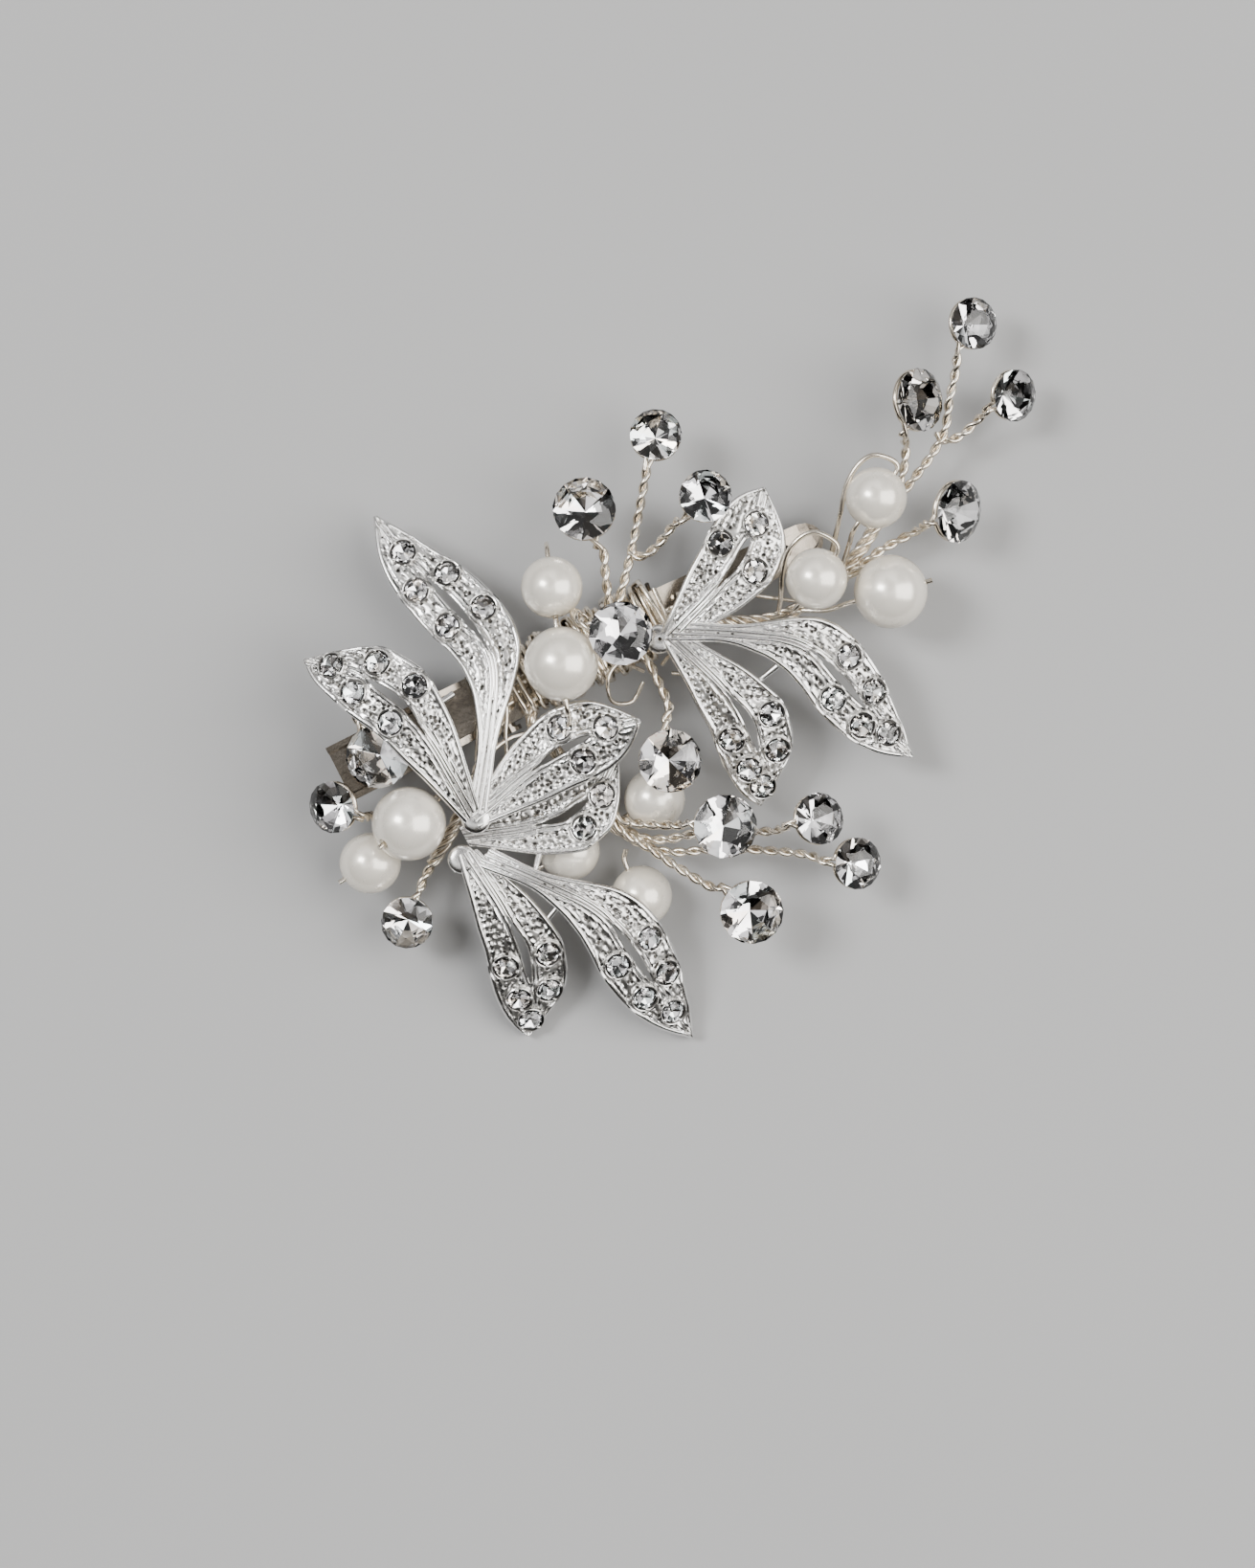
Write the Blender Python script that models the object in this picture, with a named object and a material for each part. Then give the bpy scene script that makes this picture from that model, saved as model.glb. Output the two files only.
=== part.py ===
"""Bridal hair clip: a sprung flat metal clip that carries three cast leaf sprigs, ten drilled
pearls and sixteen foil-backed crystals, all bound on with fine wire.

Lengths are written in millimetres and turned into metres by the helpers. The clip lies along X
with its nose at +X, its underside is the plane Z = 0, and the origin is the middle of that face.
"""
import math

import bmesh
import bpy
import numpy as np
from mathutils import Matrix, Vector

MM = 0.001

# ---- driving dimensions, mm and degrees -------------------------------------------------------
SHEET = 0.5                     # thickness of the clip's sheet metal
CLIP_HALF_LENGTH = 22.0
JAW_HALF_WIDTH = 2.4            # at its widest
NOSE_HALF_WIDTH = 1.5
NOSE_RADIUS = 1.6
NOSE_HOLE_X = 18.6
NOSE_HOLE_RADIUS = 0.55
HINGE_X = -8.0
HINGE_Z = 3.3
PIN_RADIUS = 0.55
PIN_HEAD_RADIUS = 0.9
PIN_HEAD_THICKNESS = 0.4
UPPER_LUG = 1.43                # half width of the upper hinge lugs, and of the lower ones
LOWER_LUG = 1.1
LOWER_INSET = 0.95              # how much narrower the lower jaw is on each side
SPRING_WIRE = 0.2
SPRING_COIL_RADIUS = 1.15
SPRING_TURNS = 2.5
SPRING_HALF_LENGTH = 0.6        # along the pin
SPRING_LEG = 6.0
LUG_STEP = 0.12                 # how far the upper hinge lugs stand proud of the jaw
CLEARANCE = 0.3                 # air between pieces that would touch
# top face of the upper jaw: distance along the clip and height
JAW_LINE = [(-22.0, 6.8), (-14.0, 6.2), (-8.0, 5.9), (4.0, 5.0), (14.0, 3.2), (22.0, 2.0)]

WIRE_RADIUS = 0.2               # one strand
STEM_RADIUS = 0.38              # two strands twisted together
TRUNK_RADIUS = 0.55             # several stems bound together
PEARL_BORE = 0.48
BIND_START_X = -4.2
BIND_PITCH = 0.6
BIND_TURNS = 19
LOOP_DROP = 0.55                # how far below a crystal's girdle its wire loop lies

LEAF_THICKNESS = 0.8
HUB_RADIUS = 1.35
HUB_HOLE_RADIUS = 0.45
STONE_RADIUS = 1.05
STONE_HEIGHT = 0.5


# ---- materials --------------------------------------------------------------------------------
def material(name, colour, metallic, roughness):
    made = bpy.data.materials.get(name)
    if made is None:
        made = bpy.data.materials.new(name)
        made.use_nodes = True
        shader = made.node_tree.nodes["Principled BSDF"]
        shader.inputs["Base Color"].default_value = (*colour, 1.0)
        shader.inputs["Metallic"].default_value = metallic
        shader.inputs["Roughness"].default_value = roughness
    return made


def silver_plate():
    return material("silver_plate", (0.80, 0.79, 0.77), 1.0, 0.18)


def clip_steel():
    return material("clip_steel", (0.58, 0.55, 0.51), 1.0, 0.25)


def binding_wire():
    return material("binding_wire", (0.76, 0.72, 0.66), 1.0, 0.25)


def pearl_lacquer():
    return material("pearl_lacquer", (0.86, 0.82, 0.76), 0.0, 0.2)


def crystal_glass():
    return material("crystal_glass", (0.90, 0.92, 0.94), 0.0, 0.02)


# ---- helpers ----------------------------------------------------------------------------------
def place(name, data, made_of):
    body = bpy.data.objects.new(name, data)
    data.materials.append(made_of)
    bpy.context.scene.collection.objects.link(body)
    return body


def mesh_object(name, shape, made_of, smooth_below=None):
    """Turn a bmesh built in millimetres into an object in metres."""
    bmesh.ops.scale(shape, vec=(MM, MM, MM), verts=shape.verts)
    mesh = bpy.data.meshes.new(name)
    shape.to_mesh(mesh)
    shape.free()
    body = place(name, mesh, made_of)
    if smooth_below is not None:
        mesh.shade_smooth()
        mesh.set_sharp_from_angle(angle=math.radians(smooth_below))
    return body


def guide(body):
    body.hide_render = True
    body.display_type = "WIRE"
    return body


def combine(body, tool, operation):
    change = body.modifiers.new(operation.lower(), "BOOLEAN")
    change.operation = operation
    change.object = guide(tool)
    change.solver = "EXACT"


def cylinder(name, radius, low, high, made_of, sides=20):
    """A round bar between two points."""
    axis = Vector(high) - Vector(low)
    shape = bmesh.new()
    bmesh.ops.create_cone(shape, cap_ends=True, segments=sides, radius1=radius, radius2=radius,
                          depth=axis.length)
    turn = Vector((0, 0, 1)).rotation_difference(axis).to_matrix().to_4x4()
    middle = Matrix.Translation((Vector(low) + Vector(high)) / 2)
    bmesh.ops.transform(shape, matrix=middle @ turn, verts=shape.verts)
    return mesh_object(name, shape, made_of, 40)


def block(name, low, high, made_of):
    shape = bmesh.new()
    bmesh.ops.create_cube(shape, size=1.0)
    size = Vector(high) - Vector(low)
    bmesh.ops.scale(shape, vec=size, verts=shape.verts)
    bmesh.ops.translate(shape, vec=(Vector(low) + Vector(high)) / 2, verts=shape.verts)
    return mesh_object(name, shape, made_of)


def plate(name, rows, made_of, thickness, skip=()):
    """A closed plate under a grid of points. The points are its top face, and skip lists the
    cells (row, column) that are left open."""
    shape = bmesh.new()
    top = [[shape.verts.new(point) for point in row] for row in rows]
    under = [[shape.verts.new((x, y, z - thickness)) for x, y, z in row] for row in rows]
    cells = [(row, column) for row in range(len(rows) - 1) for column in range(len(rows[0]) - 1)
             if (row, column) not in skip]
    for row, column in cells:
        for grid in (top, under):
            shape.faces.new((grid[row][column], grid[row + 1][column],
                             grid[row + 1][column + 1], grid[row][column + 1]))
        walls = {(row, column - 1): ((row, column), (row + 1, column)),
                 (row, column + 1): ((row, column + 1), (row + 1, column + 1)),
                 (row - 1, column): ((row, column), (row, column + 1)),
                 (row + 1, column): ((row + 1, column), (row + 1, column + 1))}
        for beside, ((row_a, column_a), (row_b, column_b)) in walls.items():
            if beside not in cells:
                shape.faces.new((top[row_a][column_a], top[row_b][column_b],
                                 under[row_b][column_b], under[row_a][column_a]))
    loose = [vert for vert in shape.verts if not vert.link_faces]
    bmesh.ops.delete(shape, geom=loose, context="VERTS")
    bmesh.ops.recalc_face_normals(shape, faces=shape.faces)
    return mesh_object(name, shape, made_of, 50)


def sweep(name, sections, made_of):
    """Matching closed sections joined one after another, with the ends closed."""
    shape = bmesh.new()
    rings = [[shape.verts.new(point) for point in section] for section in sections]
    count = len(rings[0])
    for ring, following in zip(rings, rings[1:]):
        for i in range(count):
            j = (i + 1) % count
            shape.faces.new((ring[i], ring[j], following[j], following[i]))
    shape.faces.new(rings[0])
    shape.faces.new(rings[-1])
    bmesh.ops.recalc_face_normals(shape, faces=shape.faces)
    return mesh_object(name, shape, made_of, 40)


def smooth_route(points, steps):
    """Read a smooth curve through hand-chosen points (Catmull-Rom)."""
    points = [np.array(point, float) for point in points]
    ends = [2 * points[0] - points[1], *points, 2 * points[-1] - points[-2]]
    route = []
    for before, start, end, after in zip(ends, ends[1:], ends[2:], ends[3:]):
        for step in range(steps):
            t = step / steps
            route.append(0.5 * (2 * start + (end - before) * t
                                + (2 * before - 5 * start + 4 * end - after) * t * t
                                + (3 * start - before - 3 * end + after) * t ** 3))
    route.append(points[-1])
    return route


def tube(name, points, radii, made_of, resolution=1):
    """A wire along a route, with a radius at every point and closed ends."""
    curve = bpy.data.curves.new(name, "CURVE")
    curve.dimensions = "3D"
    curve.bevel_depth = MM
    curve.bevel_resolution = resolution
    curve.use_fill_caps = True
    line = curve.splines.new("POLY")
    line.points.add(len(points) - 1)
    for point, place_at, radius in zip(line.points, points, radii):
        point.co = (*(np.array(place_at) * MM), 1.0)
        point.radius = radius
    return place(name, curve, made_of)


def jaw_height(x):
    """Top face of the upper jaw, eased between the points of its line."""
    along = [spot[0] for spot in JAW_LINE]
    height = [spot[1] for spot in JAW_LINE]
    around = [np.interp(x + shift, along, height) for shift in (-1.5, -0.75, 0.0, 0.75, 1.5)]
    return sum(around) / len(around)


# ---- clip -------------------------------------------------------------------------------------
def jaw_half_width(x):
    """Square at the tail, tapered past the hinge and round at the nose."""
    taper = np.interp(x, (HINGE_X + 4.0, CLIP_HALF_LENGTH), (JAW_HALF_WIDTH, NOSE_HALF_WIDTH))
    nose_centre = CLIP_HALF_LENGTH - NOSE_RADIUS
    if x > nose_centre:
        taper *= math.sqrt(max(1.0 - ((x - nose_centre) / NOSE_RADIUS) ** 2, 0.04))
    return taper


def channel_section(x, half, top, rise, drop, hangs=True):
    """A folded channel cut across: a floor with walls that stand up and hang down at its sides."""
    wall = min(SHEET, 0.5 * half)
    root = half - 1.3 * wall
    under = top - SHEET
    right = [(half, top + rise), (half, under - drop)]
    if hangs:
        right += [(half - wall, under - drop), (root, under)]
    left = [(-y, z) for y, z in reversed(right)]
    inner = [(-half + wall, top + rise), (-root, top), (root, top), (half - wall, top + rise)]
    return [(x, y, z) for y, z in right + left + inner]


def jaw_stations():
    body = list(np.linspace(-CLIP_HALF_LENGTH, CLIP_HALF_LENGTH - NOSE_RADIUS, 15))
    nose = [CLIP_HALF_LENGTH - NOSE_RADIUS * (1 - math.sin(math.radians(angle)))
            for angle in (30, 55, 78)]
    return body + nose


def upper_jaw():
    lip = 0.06                  # the cut ends keep a slight burr
    tray_end, tray_start = -13.5, -11.0
    sections = []
    for x in jaw_stations():
        rise = float(np.interp(x, (-22.0, tray_end, tray_start, 20.0, 22.0),
                               (0.9, 0.8, 0.0, 0.0, lip)))
        drop = float(np.interp(x, (-22.0, -20.0, tray_end, tray_start, 12.0, 22.0),
                               (lip, 0.0, 0.0, 0.35, 0.5, 0.3)))
        sections.append(channel_section(x, jaw_half_width(x), jaw_height(x), rise, drop))
    jaw = sweep("clip_upper_jaw", sections, clip_steel())
    for side in (-1, 1):
        inner = side * (JAW_HALF_WIDTH - 0.42)
        outer = side * (JAW_HALF_WIDTH + LUG_STEP)
        low = (HINGE_X - UPPER_LUG, min(inner, outer), HINGE_Z - UPPER_LUG + 0.1)
        high = (HINGE_X + UPPER_LUG, max(inner, outer), jaw_height(HINGE_X) - CLEARANCE)
        combine(jaw, block(f"upper_lug_{side}", low, high, clip_steel()), "UNION")
    pin_hole = cylinder("upper_pin_hole", PIN_RADIUS + CLEARANCE,
                        (HINGE_X, -6, HINGE_Z), (HINGE_X, 6, HINGE_Z), clip_steel())
    nose_hole = cylinder("nose_hole", NOSE_HOLE_RADIUS,
                         (NOSE_HOLE_X, 0, 0), (NOSE_HOLE_X, 0, 6), clip_steel(), 12)
    combine(jaw, pin_hole, "DIFFERENCE")
    combine(jaw, nose_hole, "DIFFERENCE")
    return jaw


def lower_jaw():
    def half_width(x):
        return max(jaw_half_width(x) - LOWER_INSET, 0.3)

    stations = [x for x in jaw_stations() if x < CLIP_HALF_LENGTH - 0.5]
    sections = [channel_section(x, half_width(x), SHEET, 0.6, 0.0, False) for x in stations]
    jaw = sweep("clip_lower_jaw", sections, clip_steel())
    for side in (-1, 1):
        inner = side * (JAW_HALF_WIDTH - LOWER_INSET - SHEET / 2)
        outer = side * (JAW_HALF_WIDTH - LOWER_INSET + 0.15)
        low = (HINGE_X - LOWER_LUG, min(inner, outer), 0.2)
        high = (HINGE_X + LOWER_LUG, max(inner, outer), HINGE_Z + LOWER_LUG)
        combine(jaw, block(f"lower_lug_{side}", low, high, clip_steel()), "UNION")
    pin_hole = cylinder("lower_pin_hole", PIN_RADIUS + CLEARANCE,
                        (HINGE_X, -6, HINGE_Z), (HINGE_X, 6, HINGE_Z), clip_steel())
    combine(jaw, pin_hole, "DIFFERENCE")
    return jaw


def hinge_pin():
    """A headed pin, turned about its own axis."""
    inner = JAW_HALF_WIDTH + LUG_STEP + CLEARANCE
    outer = inner + PIN_HEAD_THICKNESS
    outline = [(PIN_HEAD_RADIUS, -outer), (PIN_HEAD_RADIUS, -inner), (PIN_RADIUS, -inner),
               (PIN_RADIUS, inner), (PIN_HEAD_RADIUS, inner), (PIN_HEAD_RADIUS, outer)]
    sides = 16
    shape = bmesh.new()
    rings = []
    for radius, y in outline:
        rings.append([shape.verts.new((HINGE_X + radius * math.cos(math.tau * i / sides), y,
                                       HINGE_Z + radius * math.sin(math.tau * i / sides)))
                      for i in range(sides)])
    for ring, following in zip(rings, rings[1:]):
        for i in range(sides):
            j = (i + 1) % sides
            shape.faces.new((ring[i], ring[j], following[j], following[i]))
    shape.faces.new(rings[0])
    shape.faces.new(rings[-1])
    bmesh.ops.recalc_face_normals(shape, faces=shape.faces)
    return mesh_object("clip_hinge_pin", shape, clip_steel(), 40)


def torsion_spring():
    """Coils round the pin, with a leg that presses on each jaw's tail."""
    half = SPRING_HALF_LENGTH
    end_x = HINGE_X - SPRING_LEG
    above_floor = SHEET + CLEARANCE + SPRING_WIRE
    points = [(end_x, -half, above_floor)]
    steps = int(SPRING_TURNS * 10)
    for step in range(steps + 1):
        angle = -math.pi / 2 + math.tau * SPRING_TURNS * step / steps
        points.append((HINGE_X + SPRING_COIL_RADIUS * math.cos(angle),
                       -half + 2 * half * step / steps,
                       HINGE_Z + SPRING_COIL_RADIUS * math.sin(angle)))
    points.append((end_x, half, jaw_height(end_x) - above_floor))
    return tube("clip_torsion_spring", points, [SPRING_WIRE] * len(points), clip_steel())


# ---- leaf sprigs ------------------------------------------------------------------------------
# Across a leaf, from one edge to the other: place and height of the relief.
LEAF_SECTION = [(-1.0, 0.15), (-0.8, 0.05), (-0.14, 0.2), (0.14, 0.2), (0.8, 0.05), (1.0, 0.15)]
SLOT_COLUMN = 2
# Along a leaf, as shares of its length: sideways bow of the middle line, and half width, in mm.
SHORT_LEAF = {
    "bow": [(0.0, 0.0), (0.3, 1.3), (0.55, 2.0), (0.8, 1.5), (1.0, 0.0)],
    "half": [(0.0, 0.9), (0.15, 1.6), (0.35, 2.6), (0.6, 3.3), (0.78, 3.1), (0.9, 2.0), (1.0, 0.15)],
    "slot": (0.42, 0.74),
}
LONG_LEAF = {
    "bow": [(0.0, 0.0), (0.2, 2.6), (0.4, 4.9), (0.5, 5.0), (0.7, 3.0), (0.85, 1.2), (1.0, 0.0)],
    "half": [(0.0, 1.0), (0.2, 0.75), (0.32, 1.5), (0.45, 2.6), (0.6, 3.4), (0.75, 3.1),
             (0.9, 1.7), (1.0, 0.15)],
    "slot": (0.52, 0.76),
}
# name: form, base (x, y), tip (x, y), strength of the bow (negative to the right), heights
# (base, middle, tip), sideways slope, and the stones as (share of the length, place across,
# from -1 on the inner edge to 1 on the outer)
LEAVES = {
    "right": {
        "hub": (6.1, -1.9, 7.5),
        "leaves": [
            (SHORT_LEAF, (6.9, -2.2), (19.2, 5.2), -0.7, (7.5, 8.2, 7.4), -0.12,
             [(0.8, 0.0), (0.6, -0.6), (0.57, 0.5)]),
            (LONG_LEAF, (7.2, -1.7), (20.2, -19.7), 0.78, (7.5, 7.7, 4.6), 0.0,
             [(0.62, 0.55), (0.76, 0.5), (0.64, -0.5), (0.78, -0.45), (0.88, 0.0)]),
            (SHORT_LEAF, (7.0, -2.2), (7.4, -17.7), 1.2, (7.5, 7.0, 4.0), 0.1,
             [(0.6, 0.6), (0.78, 0.5), (0.62, -0.55), (0.8, -0.4), (0.91, 0.05)]),
        ],
    },
    "upper": {
        "hub": (-13.7, -8.2, 8.6),
        "leaves": [
            (LONG_LEAF, (-13.5, -7.9), (-10.0, 17.5), -1.06, (8.6, 8.4, 5.2), 0.0,
             [(0.59, -0.5), (0.61, 0.55), (0.73, -0.5), (0.75, 0.5), (0.86, 0.0)]),
            (SHORT_LEAF, (-13.8, -7.8), (-20.3, 9.5), -1.45, (8.6, 11.3, 8.6), 0.0,
             [(0.56, 0.55), (0.53, -0.55), (0.75, 0.5), (0.74, -0.5), (0.89, 0.0)]),
            (SHORT_LEAF, (-13.8, -8.1), (1.7, -7.1), 0.62, (8.6, 8.3, 9.8), 0.0,
             [(0.62, 0.5), (0.64, -0.5), (0.83, 0.05)]),
        ],
    },
    "lower": {
        "hub": (-16.2, -10.6, 6.9),
        "leaves": [
            (SHORT_LEAF, (-15.2, -9.0), (-1.0, -8.6), -1.3, (6.9, 6.6, 6.3), 0.0,
             [(0.8, 0.2), (0.62, 0.5)]),
            (SHORT_LEAF, (-15.6, -10.3), (-18.1, -26.0), 1.0, (6.9, 5.6, 1.0), 0.0,
             [(0.62, -0.55), (0.62, 0.55), (0.8, -0.4), (0.8, 0.5), (0.92, 0.0)]),
            (LONG_LEAF, (-14.6, -11.2), (-6.1, -32.2), 0.57, (6.9, 6.9, 1.0), 0.0,
             [(0.62, -0.5), (0.64, 0.55), (0.77, -0.45), (0.77, 0.5), (0.88, 0.0)]),
        ],
    },
}
LEAF_ROWS = 14


def read_profile(profile, share):
    """A soft curve through a few (share, value) pairs."""
    shares = [pair[0] for pair in profile]
    values = [pair[1] for pair in profile]
    reach = min(0.04, share, 1.0 - share)
    spots = [share - reach, share, share + reach]
    return sum(np.interp(spots, shares, values)) / len(spots)


def leaf_point(leaf, share, across, relief=0.0):
    """A point on a leaf's top face."""
    form, base, tip, bow, heights, slope, _ = leaf
    base = np.array(base)
    along = np.array(tip) - base
    length = np.linalg.norm(along)
    along = along / length
    sideways = np.array((-along[1], along[0]))
    half = read_profile(form["half"], share)
    offset = bow * read_profile(form["bow"], share)
    outward = math.copysign(1.0, bow)
    ground = base + along * length * share + sideways * (offset + outward * across * half)
    low, middle, high = heights
    height = (low * (1 - share) * (1 - 2 * share) + 4 * middle * share * (1 - share)
              + high * share * (2 * share - 1))
    height += slope * across * half + relief - 0.35 * across * across * half / 3.0
    return (ground[0], ground[1], height)


def leaf_plate(name, leaf):
    shares = [row / (LEAF_ROWS - 1) for row in range(LEAF_ROWS)]
    rows = [[leaf_point(leaf, share, across, relief) for across, relief in LEAF_SECTION]
            for share in shares]
    slot_start, slot_end = leaf[0]["slot"]
    skip = {(row, SLOT_COLUMN) for row in range(LEAF_ROWS - 1)
            if slot_start <= shares[row] and shares[row + 1] <= slot_end + 0.01}
    return plate(name, rows, silver_plate(), LEAF_THICKNESS, skip)


def leaf_stones(name, leaf):
    """Set stones as low eight-sided studs that stand on the leaf."""
    shape = bmesh.new()
    for share, across in leaf[6]:
        x, y, z = leaf_point(leaf, share, across)
        lean_x = Vector(leaf_point(leaf, share + 0.02, across)) - Vector((x, y, z))
        lean_y = Vector(leaf_point(leaf, share, across + 0.05)) - Vector((x, y, z))
        up = lean_x.cross(lean_y).normalized()
        if up.z < 0:
            up = -up
        turn = Vector((0, 0, 1)).rotation_difference(up).to_matrix().to_4x4()
        spot = Matrix.Translation(Vector((x, y, z)) + up * (STONE_HEIGHT / 2 - 0.1)) @ turn
        bmesh.ops.create_cone(shape, cap_ends=True, segments=8, radius1=STONE_RADIUS,
                              radius2=STONE_RADIUS * 0.75, depth=STONE_HEIGHT + 0.4, matrix=spot)
    return mesh_object(name, shape, silver_plate())


def leaf_sprig(name, plan):
    """Three leaves cast together at a small drilled hub."""
    x, y, z = plan["hub"]
    hub = cylinder(f"leaf_sprig_{name}", HUB_RADIUS, (x, y, z - LEAF_THICKNESS - 0.1),
                   (x, y, z + 0.25), silver_plate(), 16)
    for number, leaf in enumerate(plan["leaves"], 1):
        combine(hub, leaf_plate(f"{name}_leaf_{number}", leaf), "UNION")
    for number, leaf in enumerate(plan["leaves"], 1):
        combine(hub, leaf_stones(f"{name}_stones_{number}", leaf), "UNION")
    hole = cylinder(f"{name}_hub_hole", HUB_HOLE_RADIUS, (x, y, z - 3), (x, y, z + 3),
                    silver_plate(), 10)
    combine(hub, hole, "DIFFERENCE")
    return hub


# ---- pearls -----------------------------------------------------------------------------------
# centre, diameter, and the direction of the drilled hole
PEARLS = {
    1: ((0.2, 5.7, 9.0), 5.0, (-0.33, -0.93, 0.2)),
    2: ((-1.9, -0.2, 10.4), 6.0, (-0.33, -0.93, 0.15)),
    3: ((-18.7, -6.1, 8.2), 6.0, (-0.85, -0.2, 0.5)),
    4: ((-23.1, -7.5, 5.0), 5.0, (1.0, 0.1, -0.1)),
    5: ((26.9, 0.4, 7.4), 5.0, (-0.88, -0.47, -0.1)),
    6: ((19.6, -3.3, 8.0), 5.0, (-0.88, -0.47, -0.2)),
    7: ((24.6, -6.9, 6.2), 6.0, (-0.97, 0.2, -0.1)),
    8: ((-0.1, -13.3, 4.4), 5.0, (-8.1, -0.6, -1.5)),
    9: ((-8.2, -13.9, 2.9), 5.0, (-8.1, -0.6, -1.5)),
    10: ((-4.6, -19.9, 2.9), 5.0, (0.0, 1.0, 0.1)),
}
PEARL_SIDES = 14


def pearl(number):
    """A ball turned about its drilled hole."""
    centre, diameter, direction = PEARLS[number]
    radius = diameter / 2
    mouth = math.asin(PEARL_BORE / radius)
    rings = [(radius * math.sin(angle), radius * math.cos(angle))
             for angle in np.linspace(mouth, math.pi - mouth, 9)]
    shape = bmesh.new()
    loop = [shape.verts.new((r, 0.0, z)) for r, z in rings]
    edges = [shape.edges.new(pair) for pair in zip(loop, loop[1:])]
    edges.append(shape.edges.new((loop[-1], loop[0])))
    bmesh.ops.spin(shape, geom=loop + edges, cent=(0, 0, 0), axis=(0, 0, 1), angle=math.tau,
                   steps=PEARL_SIDES, use_merge=True)
    bmesh.ops.remove_doubles(shape, verts=shape.verts, dist=0.001)
    bmesh.ops.recalc_face_normals(shape, faces=shape.faces)
    turn = Vector((0, 0, 1)).rotation_difference(Vector(direction)).to_matrix().to_4x4()
    bmesh.ops.transform(shape, matrix=Matrix.Translation(centre) @ turn, verts=shape.verts)
    return mesh_object(f"pearl_{number:02d}", shape, pearl_lacquer(), 60)


def through(number, reach=0.5):
    """The points at which a wire enters a pearl, passes its middle and comes out."""
    centre, diameter, direction = PEARLS[number]
    step = Vector(direction).normalized() * (diameter / 2 + reach)
    return [tuple(Vector(centre) - step), centre, tuple(Vector(centre) + step)]


# Each wire's stops in order: a point on its route, or the number of a pearl that it passes
# through along that pearl's hole.
PEARL_WIRES = {
    "pearl_wire_1_2": [(1.4, 9.1, 7.4), 1, 2, (-3.3, -4.4, 9.6)],
    "pearl_wire_3_4": [4, (-18.9, -6.3, 4.75), (-16.4, -5.2, 5.0), 3],
    "pearl_wire_5": [(22.3, -1.3, 5.6), (23.7, 0.5, 6.9), (25.2, 2.4, 7.6), (27.0, 3.5, 8.0),
                     (28.5, 3.4, 8.1), 5, (23.4, -1.9, 5.7)],
    "pearl_wire_6": [(16.4, -3.3, 6.4), (17.4, -1.6, 7.6), (18.7, -0.2, 8.4), (20.3, 0.3, 8.8),
                     (21.5, -0.2, 8.9), 6, (16.3, -4.8, 6.3)],
    "pearl_wire_7": [7, (19.4, -5.9, 5.2)],
    "pearl_wire_8_9": [(3.6, -13.0, 5.6), 8, 9],
    "pearl_wire_10": [10, (-4.0, -15.9, 3.4)],
}


def pearl_wire(name):
    stops = []
    for stop in PEARL_WIRES[name]:
        if isinstance(stop, int):
            stops += through(stop)
        else:
            stops.append(stop)
    route = smooth_route(stops, 3)
    return tube(name, route, [WIRE_RADIUS] * len(route), binding_wire())


# ---- crystals ---------------------------------------------------------------------------------
LARGE = 5.2
SMALL = 4.3
# centre of the girdle, diameter, tilt (heading it leans to, degrees of lean), heading at which
# the stem leaves the girdle loop, and the stem's route down to where it is bound
CRYSTALS = {
    1: ((5.4, 10.2, 8.4), LARGE, (80, 8), 262, [(5.2, 6.4, 7.9), (4.4, 4.4, 7.5)]),
    2: ((13.3, 13.0, 7.4), SMALL, (50, 12), 228, [(10.3, 9.4, 7.3), (7.7, 6.0, 7.3), (6.0, 4.3, 7.2)]),
    3: ((14.5, 6.6, 11.0), SMALL, (30, 8), 200, [(11.4, 5.8, 9.9), (8.9, 4.6, 7.8), (7.4, 3.5, 6.8)]),
    4: ((3.45, -0.2, 12.1), LARGE, (0, 4), 140, [(0.9, 3.0, 9.6), (1.4, 2.4, 7.7)]),
    5: ((2.4, -11.1, 9.4), LARGE, (300, 6), 70, [(4.3, -7.2, 8.2), (4.5, -4.6, 7.1)]),
    6: ((4.0, -17.8, 9.4), LARGE, (330, 6), 150, [(0.4, -15.9, 7.9), (-1.4, -14.9, 6.8)]),
    7: ((11.1, -20.7, 7.8), SMALL, (350, 25), 165, [(7.0, -19.8, 5.9), (2.6, -17.6, 5.4),
                                                   (-0.8, -16.6, 5.4)]),
    8: ((12.3, -25.4, 5.9), SMALL, (330, 28), 150, [(8.5, -22.6, 4.8), (3.4, -19.6, 4.2),
                                                   (-0.8, -17.8, 4.4)]),
    9: ((2.8, -25.0, 7.6), LARGE, (290, 8), 112, [(0.7, -21.6, 6.8), (-1.2, -18.6, 6.2),
                                                 (-2.1, -16.9, 5.9)]),
    10: ((-23.7, -2.1, 7.4), SMALL, (170, 30), 315, [(-20.9, -4.4, 5.0), (-19.2, -6.4, 4.1),
                                                    (-18.0, -7.7, 4.0)]),
    11: ((-18.5, -0.15, 8.8), LARGE, (200, 8), 95, [(-18.4, 3.9, 8.1), (-17.6, 3.9, 6.4)]),
    12: ((-22.6, -13.2, 5.4), SMALL, (240, 12), 45, [(-20.5, -11.4, 4.9), (-19.8, -10.6, 4.6)]),
    13: ((33.7, 5.9, 6.8), LARGE, (335, 42), 215, [(31.0, 3.0, 5.4), (30.0, 1.4, 4.7)]),
    14: ((40.5, 9.5, 6.0), SMALL, (335, 28), 215, [(37.2, 6.4, 5.2), (34.6, 2.9, 4.6),
                                                  (32.8, 1.6, 4.4), (31.2, 0.8, 4.2)]),
    15: ((40.9, 2.8, 5.2), SMALL, (320, 35), 180, [(37.3, 2.4, 4.6), (35.0, 1.9, 4.3)]),
    16: ((32.5, -3.6, 6.2), LARGE, (320, 45), 170, [(28.6, -3.4, 4.6), (25.6, -3.5, 4.0),
                                                   (23.8, -3.9, 4.0)]),
}
GIRDLE_SIDES = 16
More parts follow.
